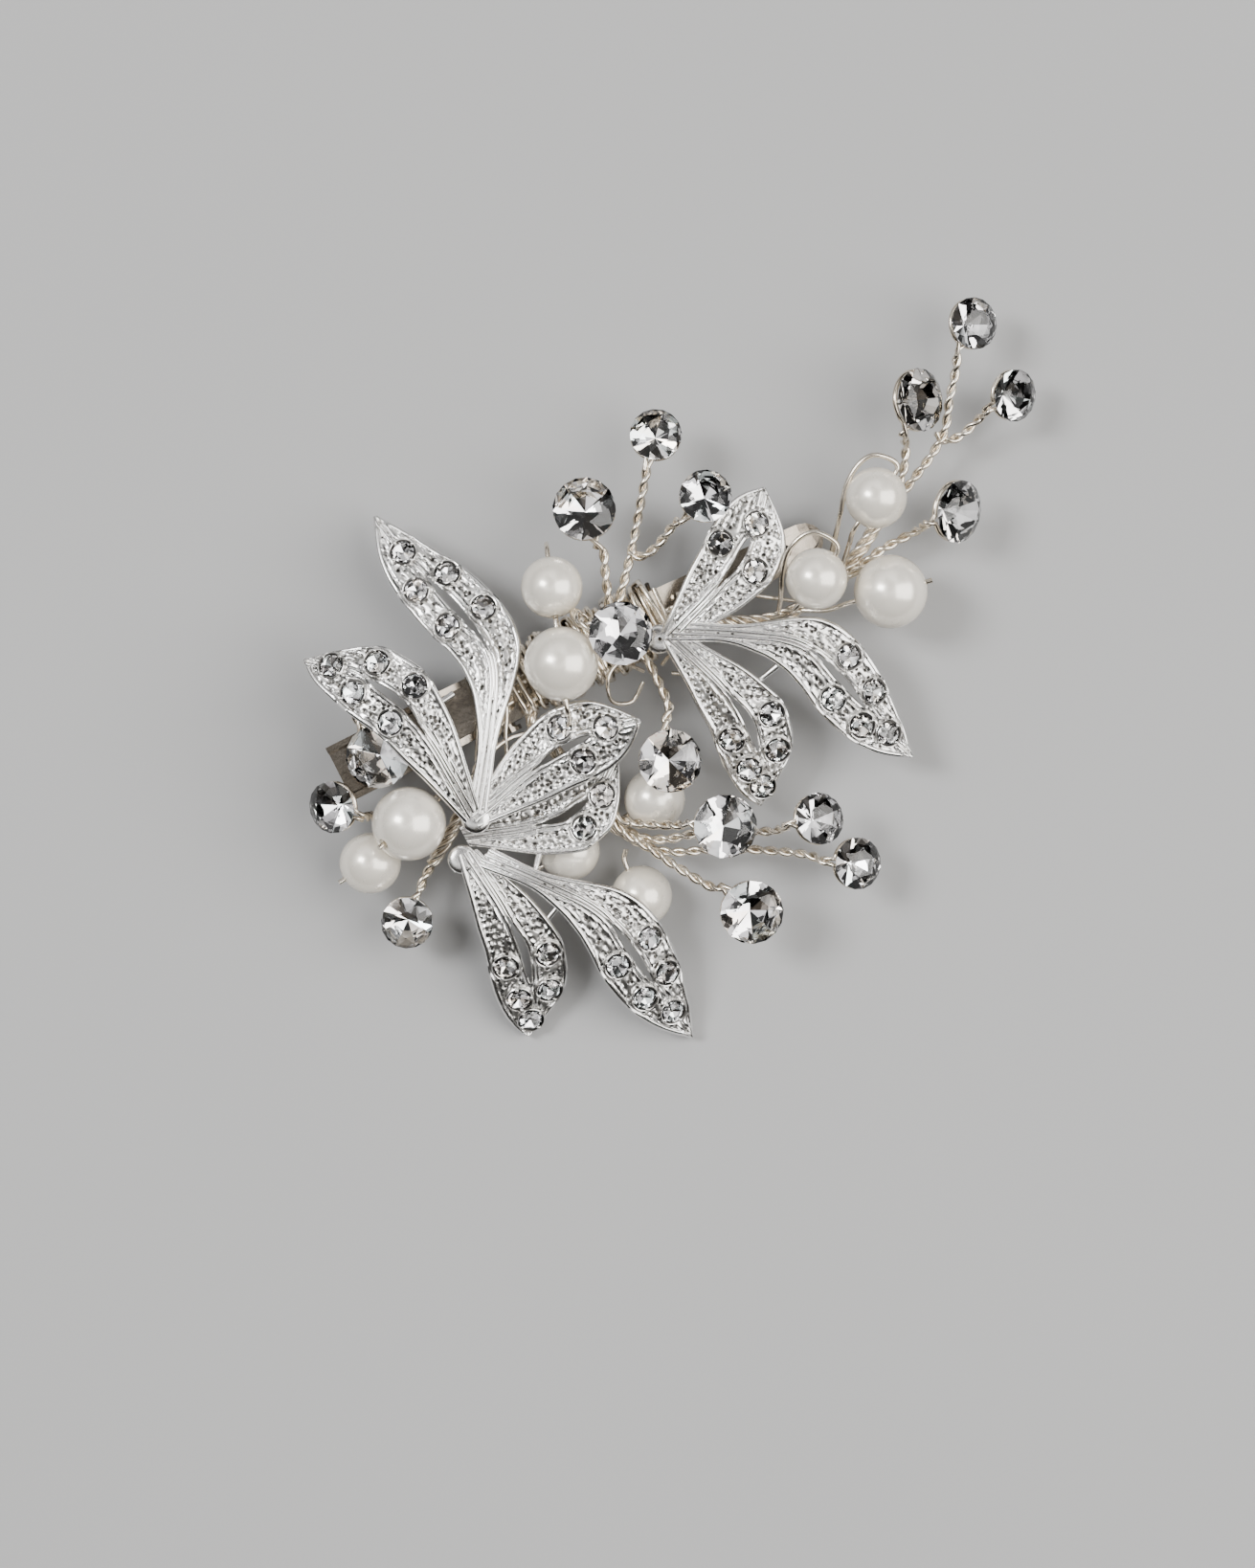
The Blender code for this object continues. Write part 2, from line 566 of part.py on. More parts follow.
GIRDLE_HALF = 0.03              # shares of a crystal's radius: half the girdle's height, and the
BACK_RING = (0.45, -0.5)        # place across and height of the ring of points on its back
NECK_REACH = 0.55               # mm from the loop to where the two strands meet


def crystal_frame(number):
    """Where a crystal's own axes lie: its table faces its own +Z."""
    centre, _, (heading, lean), _, _ = CRYSTALS[number]
    axis = (-math.sin(math.radians(heading)), math.cos(math.radians(heading)), 0.0)
    return Matrix.Translation(centre) @ Matrix.Rotation(math.radians(lean), 4, Vector(axis))


def crystal(number):
    """A foil-backed round stone: table, crown facets, girdle and a pointed back."""
    radius = CRYSTALS[number][1] / 2
    shape = bmesh.new()
    rings = [(0.56, 0.34, 8, 0.5), (0.80, 0.20, 8, 0.0), (1.0, GIRDLE_HALF, GIRDLE_SIDES, 0.5),
             (1.0, -GIRDLE_HALF, GIRDLE_SIDES, 0.5), (*BACK_RING, 8, 0.5), (0.0, -0.86, 1, 0.0)]
    for across, height, count, phase in rings:
        for i in range(count):
            angle = math.tau * (i + phase) / count
            shape.verts.new((radius * across * math.cos(angle), radius * across * math.sin(angle),
                             radius * height))
    bmesh.ops.convex_hull(shape, input=shape.verts)
    bmesh.ops.transform(shape, matrix=crystal_frame(number), verts=shape.verts)
    bmesh.ops.recalc_face_normals(shape, faces=shape.faces)
    return mesh_object(f"crystal_{number:02d}", shape, crystal_glass())


def crystal_stem(number):
    """Two twisted strands that open into a loop under the girdle."""
    _, diameter, _, leaves_at, route = CRYSTALS[number]
    back_slope = (1.0 - BACK_RING[0]) / (GIRDLE_HALF - BACK_RING[1])
    stone_there = diameter / 2 * (1.0 + GIRDLE_HALF * back_slope) - LOOP_DROP * back_slope
    loop_radius = stone_there + WIRE_RADIUS + 0.08
    frame = crystal_frame(number) @ Matrix.Translation((0.0, 0.0, -LOOP_DROP))
    start = math.radians(leaves_at)
    neck = frame @ (Vector((math.cos(start), math.sin(start), 0.0)) * (loop_radius + NECK_REACH))
    down = smooth_route([tuple(neck), *route][::-1], 2)
    around = 15
    sweep = math.radians(332)
    loop = [tuple(frame @ Vector((loop_radius * math.cos(start + 0.08 + sweep * i / around),
                                  loop_radius * math.sin(start + 0.08 + sweep * i / around), 0.0)))
            for i in range(around + 1)]
    radii = [STEM_RADIUS] * (len(down) - 1) + [STEM_RADIUS * 0.75] + [WIRE_RADIUS] * len(loop)
    return tube(f"crystal_stem_{number:02d}", down + loop, radii, binding_wire())


# ---- bundles and binding ----------------------------------------------------------------------
def on_bar(x, y):
    """Where a bundle's middle line lies on the clip."""
    return (x, y, jaw_height(x) + 0.12 + TRUNK_RADIUS)


def bundles():
    """Stems twisted together, as they lie along the clip under the binding wire."""
    end_x = BIND_START_X + BIND_PITCH * BIND_TURNS
    right = [(29.0, 0.4, 3.9), (24.3, -2.6, 3.7), (20.0, -4.4, 3.9), (15.6, -4.6, 4.4),
             (11.6, -3.0, 5.2), on_bar(9.0, -0.7), on_bar(end_x, -0.4), on_bar(2.0, -0.4),
             on_bar(-1.4, -0.4)]
    lower = [(-2.9, -15.4, 4.7), (-4.2, -13.2, 4.5), (-4.3, -9.6, 4.4), (-5.4, -6.6, 4.8),
             (-6.2, -4.2, 6.2), on_bar(-5.0, -1.65), on_bar(1.0, -1.6), on_bar(6.4, -1.55)]
    left = [(-18.6, -9.8, 4.2), (-15.5, -7.8, 5.4), (-11.5, -4.6, 6.6), (-7.5, -1.2, 6.6),
            on_bar(-3.0, 0.7), on_bar(1.0, 0.8), on_bar(6.4, 0.8)]
    routes = {"stem_bundle_right": right, "stem_bundle_lower": lower, "stem_bundle_left": left}
    for name, stops in routes.items():
        route = smooth_route(stops, 3)
        radii = [TRUNK_RADIUS] * len(route)
        radii[0] = TRUNK_RADIUS * 0.7
        radii[-1] = TRUNK_RADIUS * 0.7
        tube(name, route, radii, binding_wire(), 2)


def binding_coil():
    """Wire wound round the upper jaw and the bundles on it."""
    corner_steps = 8
    half_width = JAW_HALF_WIDTH + WIRE_RADIUS + 0.15
    under_rim = 0.75            # how far the jaw's folded sides hang, with some air
    points = []
    for step in range(BIND_TURNS * corner_steps + 1):
        x = BIND_START_X + BIND_PITCH * step / corner_steps
        angle = math.tau * step / corner_steps
        top = jaw_height(x) + 2 * TRUNK_RADIUS + 0.2 + WIRE_RADIUS
        bottom = jaw_height(x) - SHEET - under_rim - WIRE_RADIUS
        across = max(-1.0, min(1.0, 1.35 * math.cos(angle)))
        rise = max(-1.0, min(1.0, 1.35 * math.sin(angle)))
        points.append((x, across * half_width, (top + bottom + rise * (top - bottom)) / 2))
    return tube("binding_coil", points, [WIRE_RADIUS] * len(points), binding_wire())


def build():
    for body in list(bpy.data.objects):
        bpy.data.objects.remove(body, do_unlink=True)
    upper_jaw()
    lower_jaw()
    hinge_pin()
    torsion_spring()
    for name, plan in LEAVES.items():
        leaf_sprig(name, plan)
    for number in PEARLS:
        pearl(number)
    for name in PEARL_WIRES:
        pearl_wire(name)
    for number in CRYSTALS:
        crystal(number)
        crystal_stem(number)
    bundles()
    binding_coil()


build()
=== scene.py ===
"""Looks of the bridal hair clip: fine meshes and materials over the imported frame.

Lengths are written in millimetres and turned into metres when a mesh is made. The tables below
repeat the part's own design figures; where a pearl or a crystal sits is read from the frame.
"""

import math

import bmesh
import bpy
import numpy as np
from mathutils import Matrix, Vector


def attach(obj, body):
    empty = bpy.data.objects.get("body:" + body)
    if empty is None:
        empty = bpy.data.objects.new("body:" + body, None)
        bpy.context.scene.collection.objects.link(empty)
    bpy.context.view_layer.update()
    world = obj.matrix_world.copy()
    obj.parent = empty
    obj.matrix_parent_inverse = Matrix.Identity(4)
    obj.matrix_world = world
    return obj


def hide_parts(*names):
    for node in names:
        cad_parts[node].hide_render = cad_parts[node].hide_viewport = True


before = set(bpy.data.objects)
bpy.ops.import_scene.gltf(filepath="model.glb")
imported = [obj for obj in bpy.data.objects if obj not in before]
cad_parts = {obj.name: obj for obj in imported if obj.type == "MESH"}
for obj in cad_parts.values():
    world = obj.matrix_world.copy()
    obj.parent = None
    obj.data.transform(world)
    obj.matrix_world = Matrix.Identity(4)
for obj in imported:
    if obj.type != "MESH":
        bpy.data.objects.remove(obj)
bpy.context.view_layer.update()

MM = 0.001
JAW = "decorated_jaw"

# ---- clip, mm ---------------------------------------------------------------------------------
HINGE = (-8.0, 3.3)             # where the pin stands, seen from the clip's side
SPRING_WIRE = 0.2
SPRING_COIL_RADIUS = 1.15
SPRING_TURNS = 2.5
SPRING_HALF_LENGTH = 0.6        # along the pin
SPRING_LEG_X = -14.0
LOWER_LEG_Z = 1.0
UPPER_LEG_Z = 5.2
SPRING_OVERLAP = math.radians(40.0)  # of the last coil, shared by both pieces of the spring

# ---- wire, mm ---------------------------------------------------------------------------------
STRAND = 0.21                   # radius of one strand
TWIST_PITCH = 2.5               # length of one turn of two twisted strands
LOOP_DROP = 0.55                # how far below a crystal's girdle its wire loop lies
BACK_SLOPE = 0.78               # how fast a crystal narrows below its girdle
NESTLE = 0.05                   # how far the loop presses in against the foil
NECK_REACH = 0.75               # from the loop to where the strands meet
TRUNK_RADIUS = 0.55
BIND_START_X = -4.2
BIND_END_X = 7.2
JAW_LINE = [(-22.0, 6.8), (-14.0, 6.2), (-8.0, 5.9), (4.0, 5.0), (14.0, 3.2), (22.0, 2.0)]

# heading at which each stem leaves its crystal's loop, and the stem's route down
STEM_ROUTES = {
    1: (262, [(5.2, 6.4, 7.9), (4.4, 4.4, 7.5), (3.6, 2.2, 7.2), (2.6, 0.6, 6.9)]),
    2: (228, [(10.3, 9.4, 7.3), (7.7, 6.0, 7.3), (6.1, 4.1, 7.2), (4.8, 2.6, 7.0), (3.4, 0.8, 6.8)]),
    3: (200, [(11.4, 5.8, 9.9), (9.3, 4.9, 8.3), (7.9, 4.7, 7.6), (7.0, 5.4, 7.4)]),
    4: (140, [(0.9, 3.0, 9.6), (1.4, 2.4, 7.7), (2.0, 1.4, 6.9)]),
    5: (70, [(4.3, -7.2, 8.2), (4.5, -4.6, 7.1), (4.4, -2.8, 6.7), (4.0, -1.6, 6.4)]),
    6: (150, [(0.4, -15.9, 7.9), (-1.4, -14.9, 6.8), (-3.2, -13.6, 5.4), (-4.0, -11.5, 4.7)]),
    7: (165, [(7.0, -19.8, 5.9), (2.6, -17.6, 5.4), (-0.8, -16.6, 5.4), (-2.9, -15.2, 5.0),
              (-4.1, -13.2, 4.9)]),
    8: (150, [(8.5, -22.6, 4.8), (3.4, -19.6, 4.2), (-0.8, -17.8, 4.4), (-2.8, -15.9, 4.7),
              (-3.9, -14.0, 4.6)]),
    9: (112, [(0.7, -21.6, 6.8), (-1.2, -18.6, 6.2), (-2.1, -16.9, 5.9), (-3.4, -14.8, 5.3),
              (-4.2, -12.6, 4.9)]),
    10: (315, [(-20.9, -4.4, 5.0), (-19.2, -6.4, 4.1), (-18.0, -7.7, 4.0), (-17.0, -8.8, 4.5)]),
    11: (95, [(-18.4, 3.9, 8.1), (-17.6, 3.9, 6.4)]),
    12: (45, [(-20.5, -11.4, 4.9), (-19.8, -10.6, 4.6), (-18.2, -9.6, 4.4), (-16.6, -8.6, 4.9)]),
    13: (215, [(31.0, 3.0, 5.4), (30.0, 1.4, 4.7), (28.6, 0.2, 4.2), (26.8, -1.0, 3.9)]),
    14: (215, [(37.2, 6.4, 5.2), (36.0, 4.9, 4.9), (34.6, 2.9, 4.6), (32.8, 1.6, 4.4),
               (31.2, 0.8, 4.2), (29.4, -0.1, 4.1), (27.4, -1.1, 4.0)]),
    15: (180, [(37.3, 2.4, 4.6), (35.6, 1.9, 4.4), (34.3, 2.1, 4.3), (33.8, 3.0, 4.5)]),
    16: (170, [(28.6, -3.4, 4.6), (25.6, -3.5, 4.0), (23.8, -3.9, 4.0), (21.8, -4.3, 4.0)]),
}
BUNDLES = {
    "stem_bundle_right": [(29.0, 0.4, 3.9), (24.3, -2.6, 3.7), (20.0, -4.4, 3.9), (15.6, -4.6, 4.4),
                          (11.6, -3.0, 5.2), (9.0, -0.7, 4.8), (7.2, -0.4, 5.1), (2.0, -0.4, 5.82),
                          (-1.4, -0.4, 6.08)],
    "stem_bundle_lower": [(-2.9, -15.4, 4.7), (-4.2, -13.2, 4.5), (-4.3, -9.6, 4.4),
                          (-5.4, -6.6, 4.8), (-6.2, -4.2, 6.2), (-5.0, -1.65, 6.35),
                          (1.0, -1.6, 5.9), (6.4, -1.55, 5.24)],
    "stem_bundle_left": [(-18.6, -9.8, 4.2), (-15.5, -7.8, 5.4), (-11.5, -4.6, 6.6),
                         (-7.5, -1.2, 6.6), (-3.0, 0.7, 6.2), (1.0, 0.8, 5.9), (6.4, 0.8, 5.24)],
}
# each pearl wire's stops: a point on its route, or the number of a pearl that it passes through
PEARL_WIRES = {
    "pearl_wire_1_2": [(1.4, 9.1, 7.4), 1, 2, (-3.3, -4.4, 9.6), (-3.9, -5.2, 7.6)],
    "pearl_wire_3_4": [4, (-18.9, -6.3, 4.75), (-16.4, -5.2, 5.0), 3],
    "pearl_wire_5": [(21.4, -2.4, 4.9), (22.3, -1.3, 5.6), (23.7, 0.5, 6.9), (25.2, 2.4, 7.6),
                     (27.0, 3.5, 8.0), (28.5, 3.4, 8.1), 5, (23.4, -1.9, 5.7), (22.2, -3.2, 4.3)],
    "pearl_wire_6": [(15.8, -4.2, 5.4), (16.4, -3.3, 6.4), (17.4, -1.6, 7.6), (18.7, -0.2, 8.4),
                     (20.3, 0.3, 8.8), (21.5, -0.2, 8.9), 6, (16.3, -4.8, 6.3), (14.8, -4.4, 4.8)],
    "pearl_wire_7": [7, (19.4, -5.9, 5.2), (17.6, -5.0, 4.6)],
    "pearl_wire_8_9": [(3.6, -13.0, 5.6), 8, 9],
    "pearl_wire_10": [10, (-4.0, -15.9, 3.4)],
}
# which way each wire runs through its pearl
WIRE_HEADINGS = {1: (-0.33, -0.93, 0.2), 2: (-0.33, -0.93, 0.15), 3: (-0.85, -0.2, 0.5),
                 4: (1.0, 0.1, -0.1), 5: (-0.88, -0.47, -0.1), 6: (-0.88, -0.47, -0.2),
                 7: (-0.97, 0.2, -0.1), 8: (-8.1, -0.6, -1.5), 9: (-8.1, -0.6, -1.5),
                 10: (0.0, 1.0, 0.1)}
# lengths of binding wire that stray from the winding, and the cast bars between leaves
STRAY_WIRES = [
    [(-9.5, -5.6, 6.8), (-8.6, -3.4, 7.4), (-7.4, -1.2, 7.6), (-6.6, 1.4, 7.2), (-6.8, 3.2, 6.0)],
    [(-11.6, -4.0, 6.6), (-10.2, -1.6, 7.4), (-8.8, 0.8, 7.4), (-8.0, 3.2, 6.0)],
    [(-12.6, -6.8, 7.4), (-10.4, -4.2, 7.8), (-8.4, -3.6, 7.2), (-6.2, -4.0, 6.8)],
    [(3.8, -3.6, 5.4), (2.4, -2.2, 7.0), (1.0, -2.8, 7.6), (0.4, -4.6, 6.8), (1.8, -5.4, 5.8),
     (3.4, -4.4, 6.0)],
    [(5.4, -3.8, 5.2), (6.6, -3.4, 6.0), (7.6, -4.4, 6.4), (7.0, -5.4, 5.8), (5.8, -4.8, 5.4)],
    [(9.6, -3.2, 5.6), (11.0, -4.6, 6.2), (12.6, -5.6, 6.2), (13.6, -5.0, 5.6)],
    [(9.0, 0.8, 5.0), (12.0, -0.4, 5.2), (15.0, -2.4, 5.0), (17.4, -4.0, 4.6)],
]
SPRUES = [
    ((-8.8, -16.6, 5.9), (-12.6, -18.2, 5.2)),
    ((-10.6, -13.2, 6.3), (-12.0, -14.8, 6.2)),
    ((-13.8, 1.2, 8.6), (-11.0, 1.6, 8.2)),
    ((11.4, -8.6, 6.6), (13.4, -8.2, 6.8)),
]

# ---- leaves, mm -------------------------------------------------------------------------------
LEAF_THICKNESS = 0.75
SHORT_LEAF = {
    "bow": [(0.0, 0.0), (0.3, 1.3), (0.55, 2.0), (0.8, 1.5), (1.0, 0.0)],
    "half": [(0.0, 0.9), (0.15, 1.6), (0.35, 2.6), (0.6, 3.3), (0.78, 3.1), (0.9, 2.0), (1.0, 0.15)],
    "slot": (0.42, 0.74),
}
LONG_LEAF = {
    "bow": [(0.0, 0.0), (0.2, 2.6), (0.4, 4.9), (0.5, 5.0), (0.7, 3.0), (0.85, 1.2), (1.0, 0.0)],
    "half": [(0.0, 1.0), (0.2, 0.75), (0.32, 1.5), (0.45, 2.6), (0.6, 3.4), (0.75, 3.1),
             (0.9, 1.7), (1.0, 0.15)],
    "slot": (0.52, 0.76),
}
# form, base (x, y), tip (x, y), strength of the bow, heights (base, middle, tip), sideways slope,
# and the stones as (share of the length, place across)
LEAVES = {
    "right": {
        "hub": (6.1, -1.9, 7.5),
        "leaves": [
            (SHORT_LEAF, (6.9, -2.2), (19.2, 5.2), -0.7, (7.5, 8.2, 7.4), -0.12,
             [(0.8, 0.0), (0.6, -0.6), (0.57, 0.5)]),
            (LONG_LEAF, (7.2, -1.7), (20.2, -19.7), 0.78, (7.5, 7.7, 4.6), 0.0,
             [(0.62, 0.55), (0.76, 0.5), (0.64, -0.5), (0.78, -0.45), (0.88, 0.0)]),
            (SHORT_LEAF, (7.0, -2.2), (7.4, -17.7), 1.2, (7.5, 7.0, 4.0), 0.1,
             [(0.6, 0.6), (0.78, 0.5), (0.62, -0.55), (0.8, -0.4), (0.91, 0.05)]),
        ],
    },
    "upper": {
        "hub": (-13.7, -8.2, 8.6),
        "leaves": [
            (LONG_LEAF, (-13.5, -7.9), (-10.0, 17.5), -1.06, (8.6, 8.4, 5.2), 0.0,
             [(0.59, -0.5), (0.61, 0.55), (0.73, -0.5), (0.75, 0.5), (0.86, 0.0)]),
            (SHORT_LEAF, (-13.8, -7.8), (-20.3, 9.5), -1.45, (8.6, 11.3, 8.6), 0.0,
             [(0.56, 0.55), (0.53, -0.55), (0.75, 0.5), (0.74, -0.5), (0.89, 0.0)]),
            (SHORT_LEAF, (-13.8, -8.1), (1.7, -7.1), 0.62, (8.6, 8.3, 9.8), 0.0,
             [(0.62, 0.5), (0.64, -0.5), (0.83, 0.05)]),
        ],
    },
    "lower": {
        "hub": (-16.2, -10.6, 6.9),
        "leaves": [
            (SHORT_LEAF, (-15.2, -9.0), (-1.0, -8.6), -1.3, (6.9, 6.6, 6.3), 0.0,
             [(0.8, 0.2), (0.62, 0.5)]),
            (SHORT_LEAF, (-15.6, -10.3), (-18.1, -26.0), 1.0, (6.9, 5.6, 1.0), 0.0,
             [(0.62, -0.55), (0.62, 0.55), (0.8, -0.4), (0.8, 0.5), (0.92, 0.0)]),
            (LONG_LEAF, (-14.6, -11.2), (-6.1, -32.2), 0.57, (6.9, 6.9, 1.0), 0.0,
             [(0.62, -0.5), (0.64, 0.55), (0.77, -0.45), (0.77, 0.5), (0.88, 0.0)]),
        ],
    },
}
STONE_RADIUS = 0.92
SEAT_RADIUS = 1.04
BEZEL_RADIUS = 1.15
CLEARED_RADIUS = BEZEL_RADIUS + 0.3  # within this of a stone the relief dies away
SEAT_DEPTH = 0.28
GRAIN_PITCH = 0.52              # mm between the grains inside a leaf's rim
PIT_DEPTH = 0.24
POLISHED_ABOVE = 0.03           # relief above which a casting is polished
PIT_FLOOR = -0.09               # relief below which a casting is coloured dark
SLOT_HALF_WIDTH = 0.30


# ---- materials --------------------------------------------------------------------------------
BLACK = (0.0, 0.0, 0.0)
WHITE = (1.0, 1.0, 1.0)


class Tree:
    """A node tree, with a short call for each link."""

    def __init__(self, tree):
        self.tree = tree

    def add(self, kind, **settings):
        node = self.tree.nodes.new(kind)
        for key, value in settings.items():
            setattr(node, key, value)
        return node

    def link(self, source, target):
        self.tree.links.new(source, target)

    def blend(self, first, second, kind="MULTIPLY"):
        mix = self.add("ShaderNodeMix", data_type="RGBA", blend_type=kind)
        mix.inputs["Factor"].default_value = 1.0
        self.link(first, mix.inputs["A"])
        self.link(second, mix.inputs["B"])
        return mix.outputs["Result"]

    def ramp(self, source, stops):
        ramp = self.add("ShaderNodeValToRGB")
        self.link(source, ramp.inputs["Fac"])
        elements = ramp.color_ramp.elements
        while len(elements) < len(stops):
            elements.new(0.5)
        for element, (place, colour) in zip(elements, stops):
            element.position = place
            element.color = (*colour, 1.0) if len(colour) == 3 else colour
        return ramp.outputs["Color"]


class Nodes(Tree):
    """A material's node tree."""

    def __init__(self, name):
        self.material = bpy.data.materials.new(name)
        self.material.use_nodes = True
        super().__init__(self.material.node_tree)
        self.shader = self.tree.nodes["Principled BSDF"]

    def position(self):
        return self.add("ShaderNodeTexCoord").outputs["Object"]

    def noise(self, scale, detail=4.0, roughness=0.5):
        noise = self.add("ShaderNodeTexNoise")
        noise.inputs["Scale"].default_value = scale
        noise.inputs["Detail"].default_value = detail
        noise.inputs["Roughness"].default_value = roughness
        self.link(self.position(), noise.inputs["Vector"])
        return noise.outputs["Fac"]

    def spread(self, source, low, high):
        spread = self.add("ShaderNodeMapRange")
        spread.inputs["To Min"].default_value = low
        spread.inputs["To Max"].default_value = high
        self.link(source, spread.inputs["Value"])
        return spread.outputs["Result"]

    def bump(self, source, strength, distance_mm):
        bump = self.add("ShaderNodeBump")
        bump.inputs["Strength"].default_value = strength
        bump.inputs["Distance"].default_value = distance_mm * MM
        self.link(source, bump.inputs["Height"])
        self.link(bump.outputs["Normal"], self.shader.inputs["Normal"])


def metal(name, dark, light, rough, grain_scale, grain_depth, blotch_scale=180.0):
    """Plated metal: mottled colour, roughness that wanders, and a fine grain."""
    nodes = Nodes(name)
    blotches = nodes.noise(blotch_scale, 5.0, 0.6)
    nodes.link(nodes.ramp(blotches, [(0.32, dark), (0.68, light)]),
               nodes.shader.inputs["Base Color"])
    nodes.shader.inputs["Metallic"].default_value = 1.0
    nodes.link(nodes.spread(nodes.noise(blotch_scale * 2.3), *rough),
               nodes.shader.inputs["Roughness"])
    nodes.bump(nodes.noise(grain_scale, 6.0, 0.6), 0.35, grain_depth)
    return nodes.material


def pitted_silver():
    """The sunk lobes of the castings: satin silver with fine pits coloured dark."""
    nodes = Nodes("silver_pitted")
    shader = nodes.shader
    cells = nodes.add("ShaderNodeTexVoronoi", feature="F1")
    cells.inputs["Scale"].default_value = 2000.0
    cells.inputs["Randomness"].default_value = 0.8
    nodes.link(nodes.position(), cells.inputs["Vector"])
    pits = nodes.ramp(cells.outputs["Distance"], [(0.22, BLACK), (0.40, WHITE)])
    patches = nodes.ramp(nodes.noise(420.0, 3.0), [(0.60, BLACK), (0.74, WHITE)])
    shown = nodes.blend(pits, patches, "LIGHTEN")
    plate = nodes.ramp(nodes.noise(260.0, 5.0, 0.6),
                       [(0.3, (0.60, 0.59, 0.57)), (0.7, (0.88, 0.87, 0.85))])
    mix = nodes.add("ShaderNodeMix", data_type="RGBA")
    mix.inputs["A"].default_value = (0.06, 0.055, 0.05, 1.0)
    nodes.link(shown, mix.inputs["Factor"])
    nodes.link(plate, mix.inputs["B"])
    nodes.link(mix.outputs["Result"], shader.inputs["Base Color"])
    shader.inputs["Metallic"].default_value = 1.0
    nodes.link(nodes.spread(nodes.noise(900.0, 4.0), 0.22, 0.42), shader.inputs["Roughness"])
    nodes.bump(shown, 0.9, 0.09)
    return nodes.material


def pearl_material():
    """Lacquered pearl: a satin body under a clear coat, with painted shade that makes it a little
    darker and warmer towards the edges seen from the camera.
    """
    nodes = Nodes("ivory_pearl")
    shader = nodes.shader
    body = nodes.ramp(nodes.noise(90.0, 3.0),
                      [(0.3, (0.93, 0.875, 0.765)), (0.7, (0.985, 0.945, 0.86))])
    # painted shade: the base colour darkens and warms as the surface turns away from the camera
    edge = nodes.add("ShaderNodeLayerWeight")
    edge.inputs["Blend"].default_value = 0.35
    tint = nodes.ramp(edge.outputs["Facing"],
                      [(0.0, WHITE), (0.55, (0.98, 0.965, 0.94)), (1.0, (0.84, 0.77, 0.70))])
    nodes.link(nodes.blend(body, tint), shader.inputs["Base Color"])
    shader.inputs["Metallic"].default_value = 0.3
    nodes.link(nodes.spread(nodes.noise(400.0, 4.0), 0.24, 0.30), shader.inputs["Roughness"])
    shader.inputs["Coat Weight"].default_value = 0.8
    shader.inputs["Coat Roughness"].default_value = 0.06
    shader.inputs["Coat IOR"].default_value = 1.55
    nodes.bump(nodes.noise(520.0, 3.0), 0.08, 0.05)
    return nodes.material


def crown_glass():
    """The clear front of a crystal."""
    nodes = Nodes("crystal_crown")
    shader = nodes.shader
    nodes.link(nodes.ramp(nodes.noise(60.0), [(0.3, (0.985, 0.98, 1.0)), (0.7, (1.0, 0.99, 0.98))]),
               shader.inputs["Base Color"])
    shader.inputs["Roughness"].default_value = 0.0
    shader.inputs["IOR"].default_value = 1.3
    shader.inputs["Coat Weight"].default_value = 0.6
    shader.inputs["Coat Roughness"].default_value = 0.0
    shader.inputs["Transmission Weight"].default_value = 1.0
    return nodes.material


def crystal_foil():
    """The mirrored back of a crystal. Each facet takes a faint tint of its own."""
    nodes = Nodes("crystal_foil")
    shader = nodes.shader
    facing = nodes.add("ShaderNodeNewGeometry").outputs["True Normal"]
    tint = nodes.add("ShaderNodeTexWhiteNoise", noise_dimensions="3D")
    coarse = nodes.add("ShaderNodeVectorMath", operation="SNAP")
    coarse.inputs[1].default_value = (0.07, 0.07, 0.07)
    nodes.link(facing, coarse.inputs[0])
    nodes.link(coarse.outputs["Vector"], tint.inputs["Vector"])
    nodes.link(nodes.ramp(tint.outputs["Value"],
                          [(0.0, (0.99, 0.93, 0.85)), (0.2, (0.97, 0.97, 0.98)),
                           (0.5, (0.98, 0.98, 0.98)), (0.8, (0.97, 0.96, 0.98)),
                           (1.0, (0.88, 0.95, 0.94))]), shader.inputs["Base Color"])
    shader.inputs["Metallic"].default_value = 1.0
    shader.inputs["Roughness"].default_value = 0.02
    return nodes.material


SILVER = metal("silver_plate", (0.78, 0.77, 0.755), (0.93, 0.925, 0.915), (0.16, 0.32), 2200.0, 0.04)
PITTED = pitted_silver()
BEZEL = metal("bezel_silver", (0.70, 0.69, 0.67), (0.94, 0.93, 0.91), (0.16, 0.28), 3000.0, 0.03)
# dark colour for the faces deep in the pits and seats of the castings
DARK_PIT_METAL = metal("dark_pit_metal", (0.14, 0.13, 0.12), (0.30, 0.29, 0.27), (0.3, 0.5), 2600.0, 0.03)
# painted shade: the seat cups round the leaf stones are near black and stand for the shadow ring at
# each stone's edge
PAINTED_SHADE_SEAT = metal("painted_shade_seat", (0.05, 0.05, 0.05), (0.16, 0.15, 0.14), (0.4, 0.6), 3000.0, 0.03)
WIRE = metal("champagne_wire", (0.66, 0.58, 0.47), (0.93, 0.87, 0.77), (0.16, 0.28), 2400.0, 0.02,
             700.0)
STEEL = metal("clip_nickel", (0.20, 0.17, 0.135), (0.38, 0.34, 0.29), (0.12, 0.24), 1500.0, 0.03)
PEARL = pearl_material()
CROWN = crown_glass()
FOIL = crystal_foil()


# ---- helpers ----------------------------------------------------------------------------------
def finish_piece(body, nodes, body_name=JAW):
    """Put a piece in the scene, on its body, in place of the CAD nodes that it stands for."""
    bpy.context.scene.collection.objects.link(body)
    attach(body, body_name)
    if nodes:
        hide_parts(*nodes)
    return body


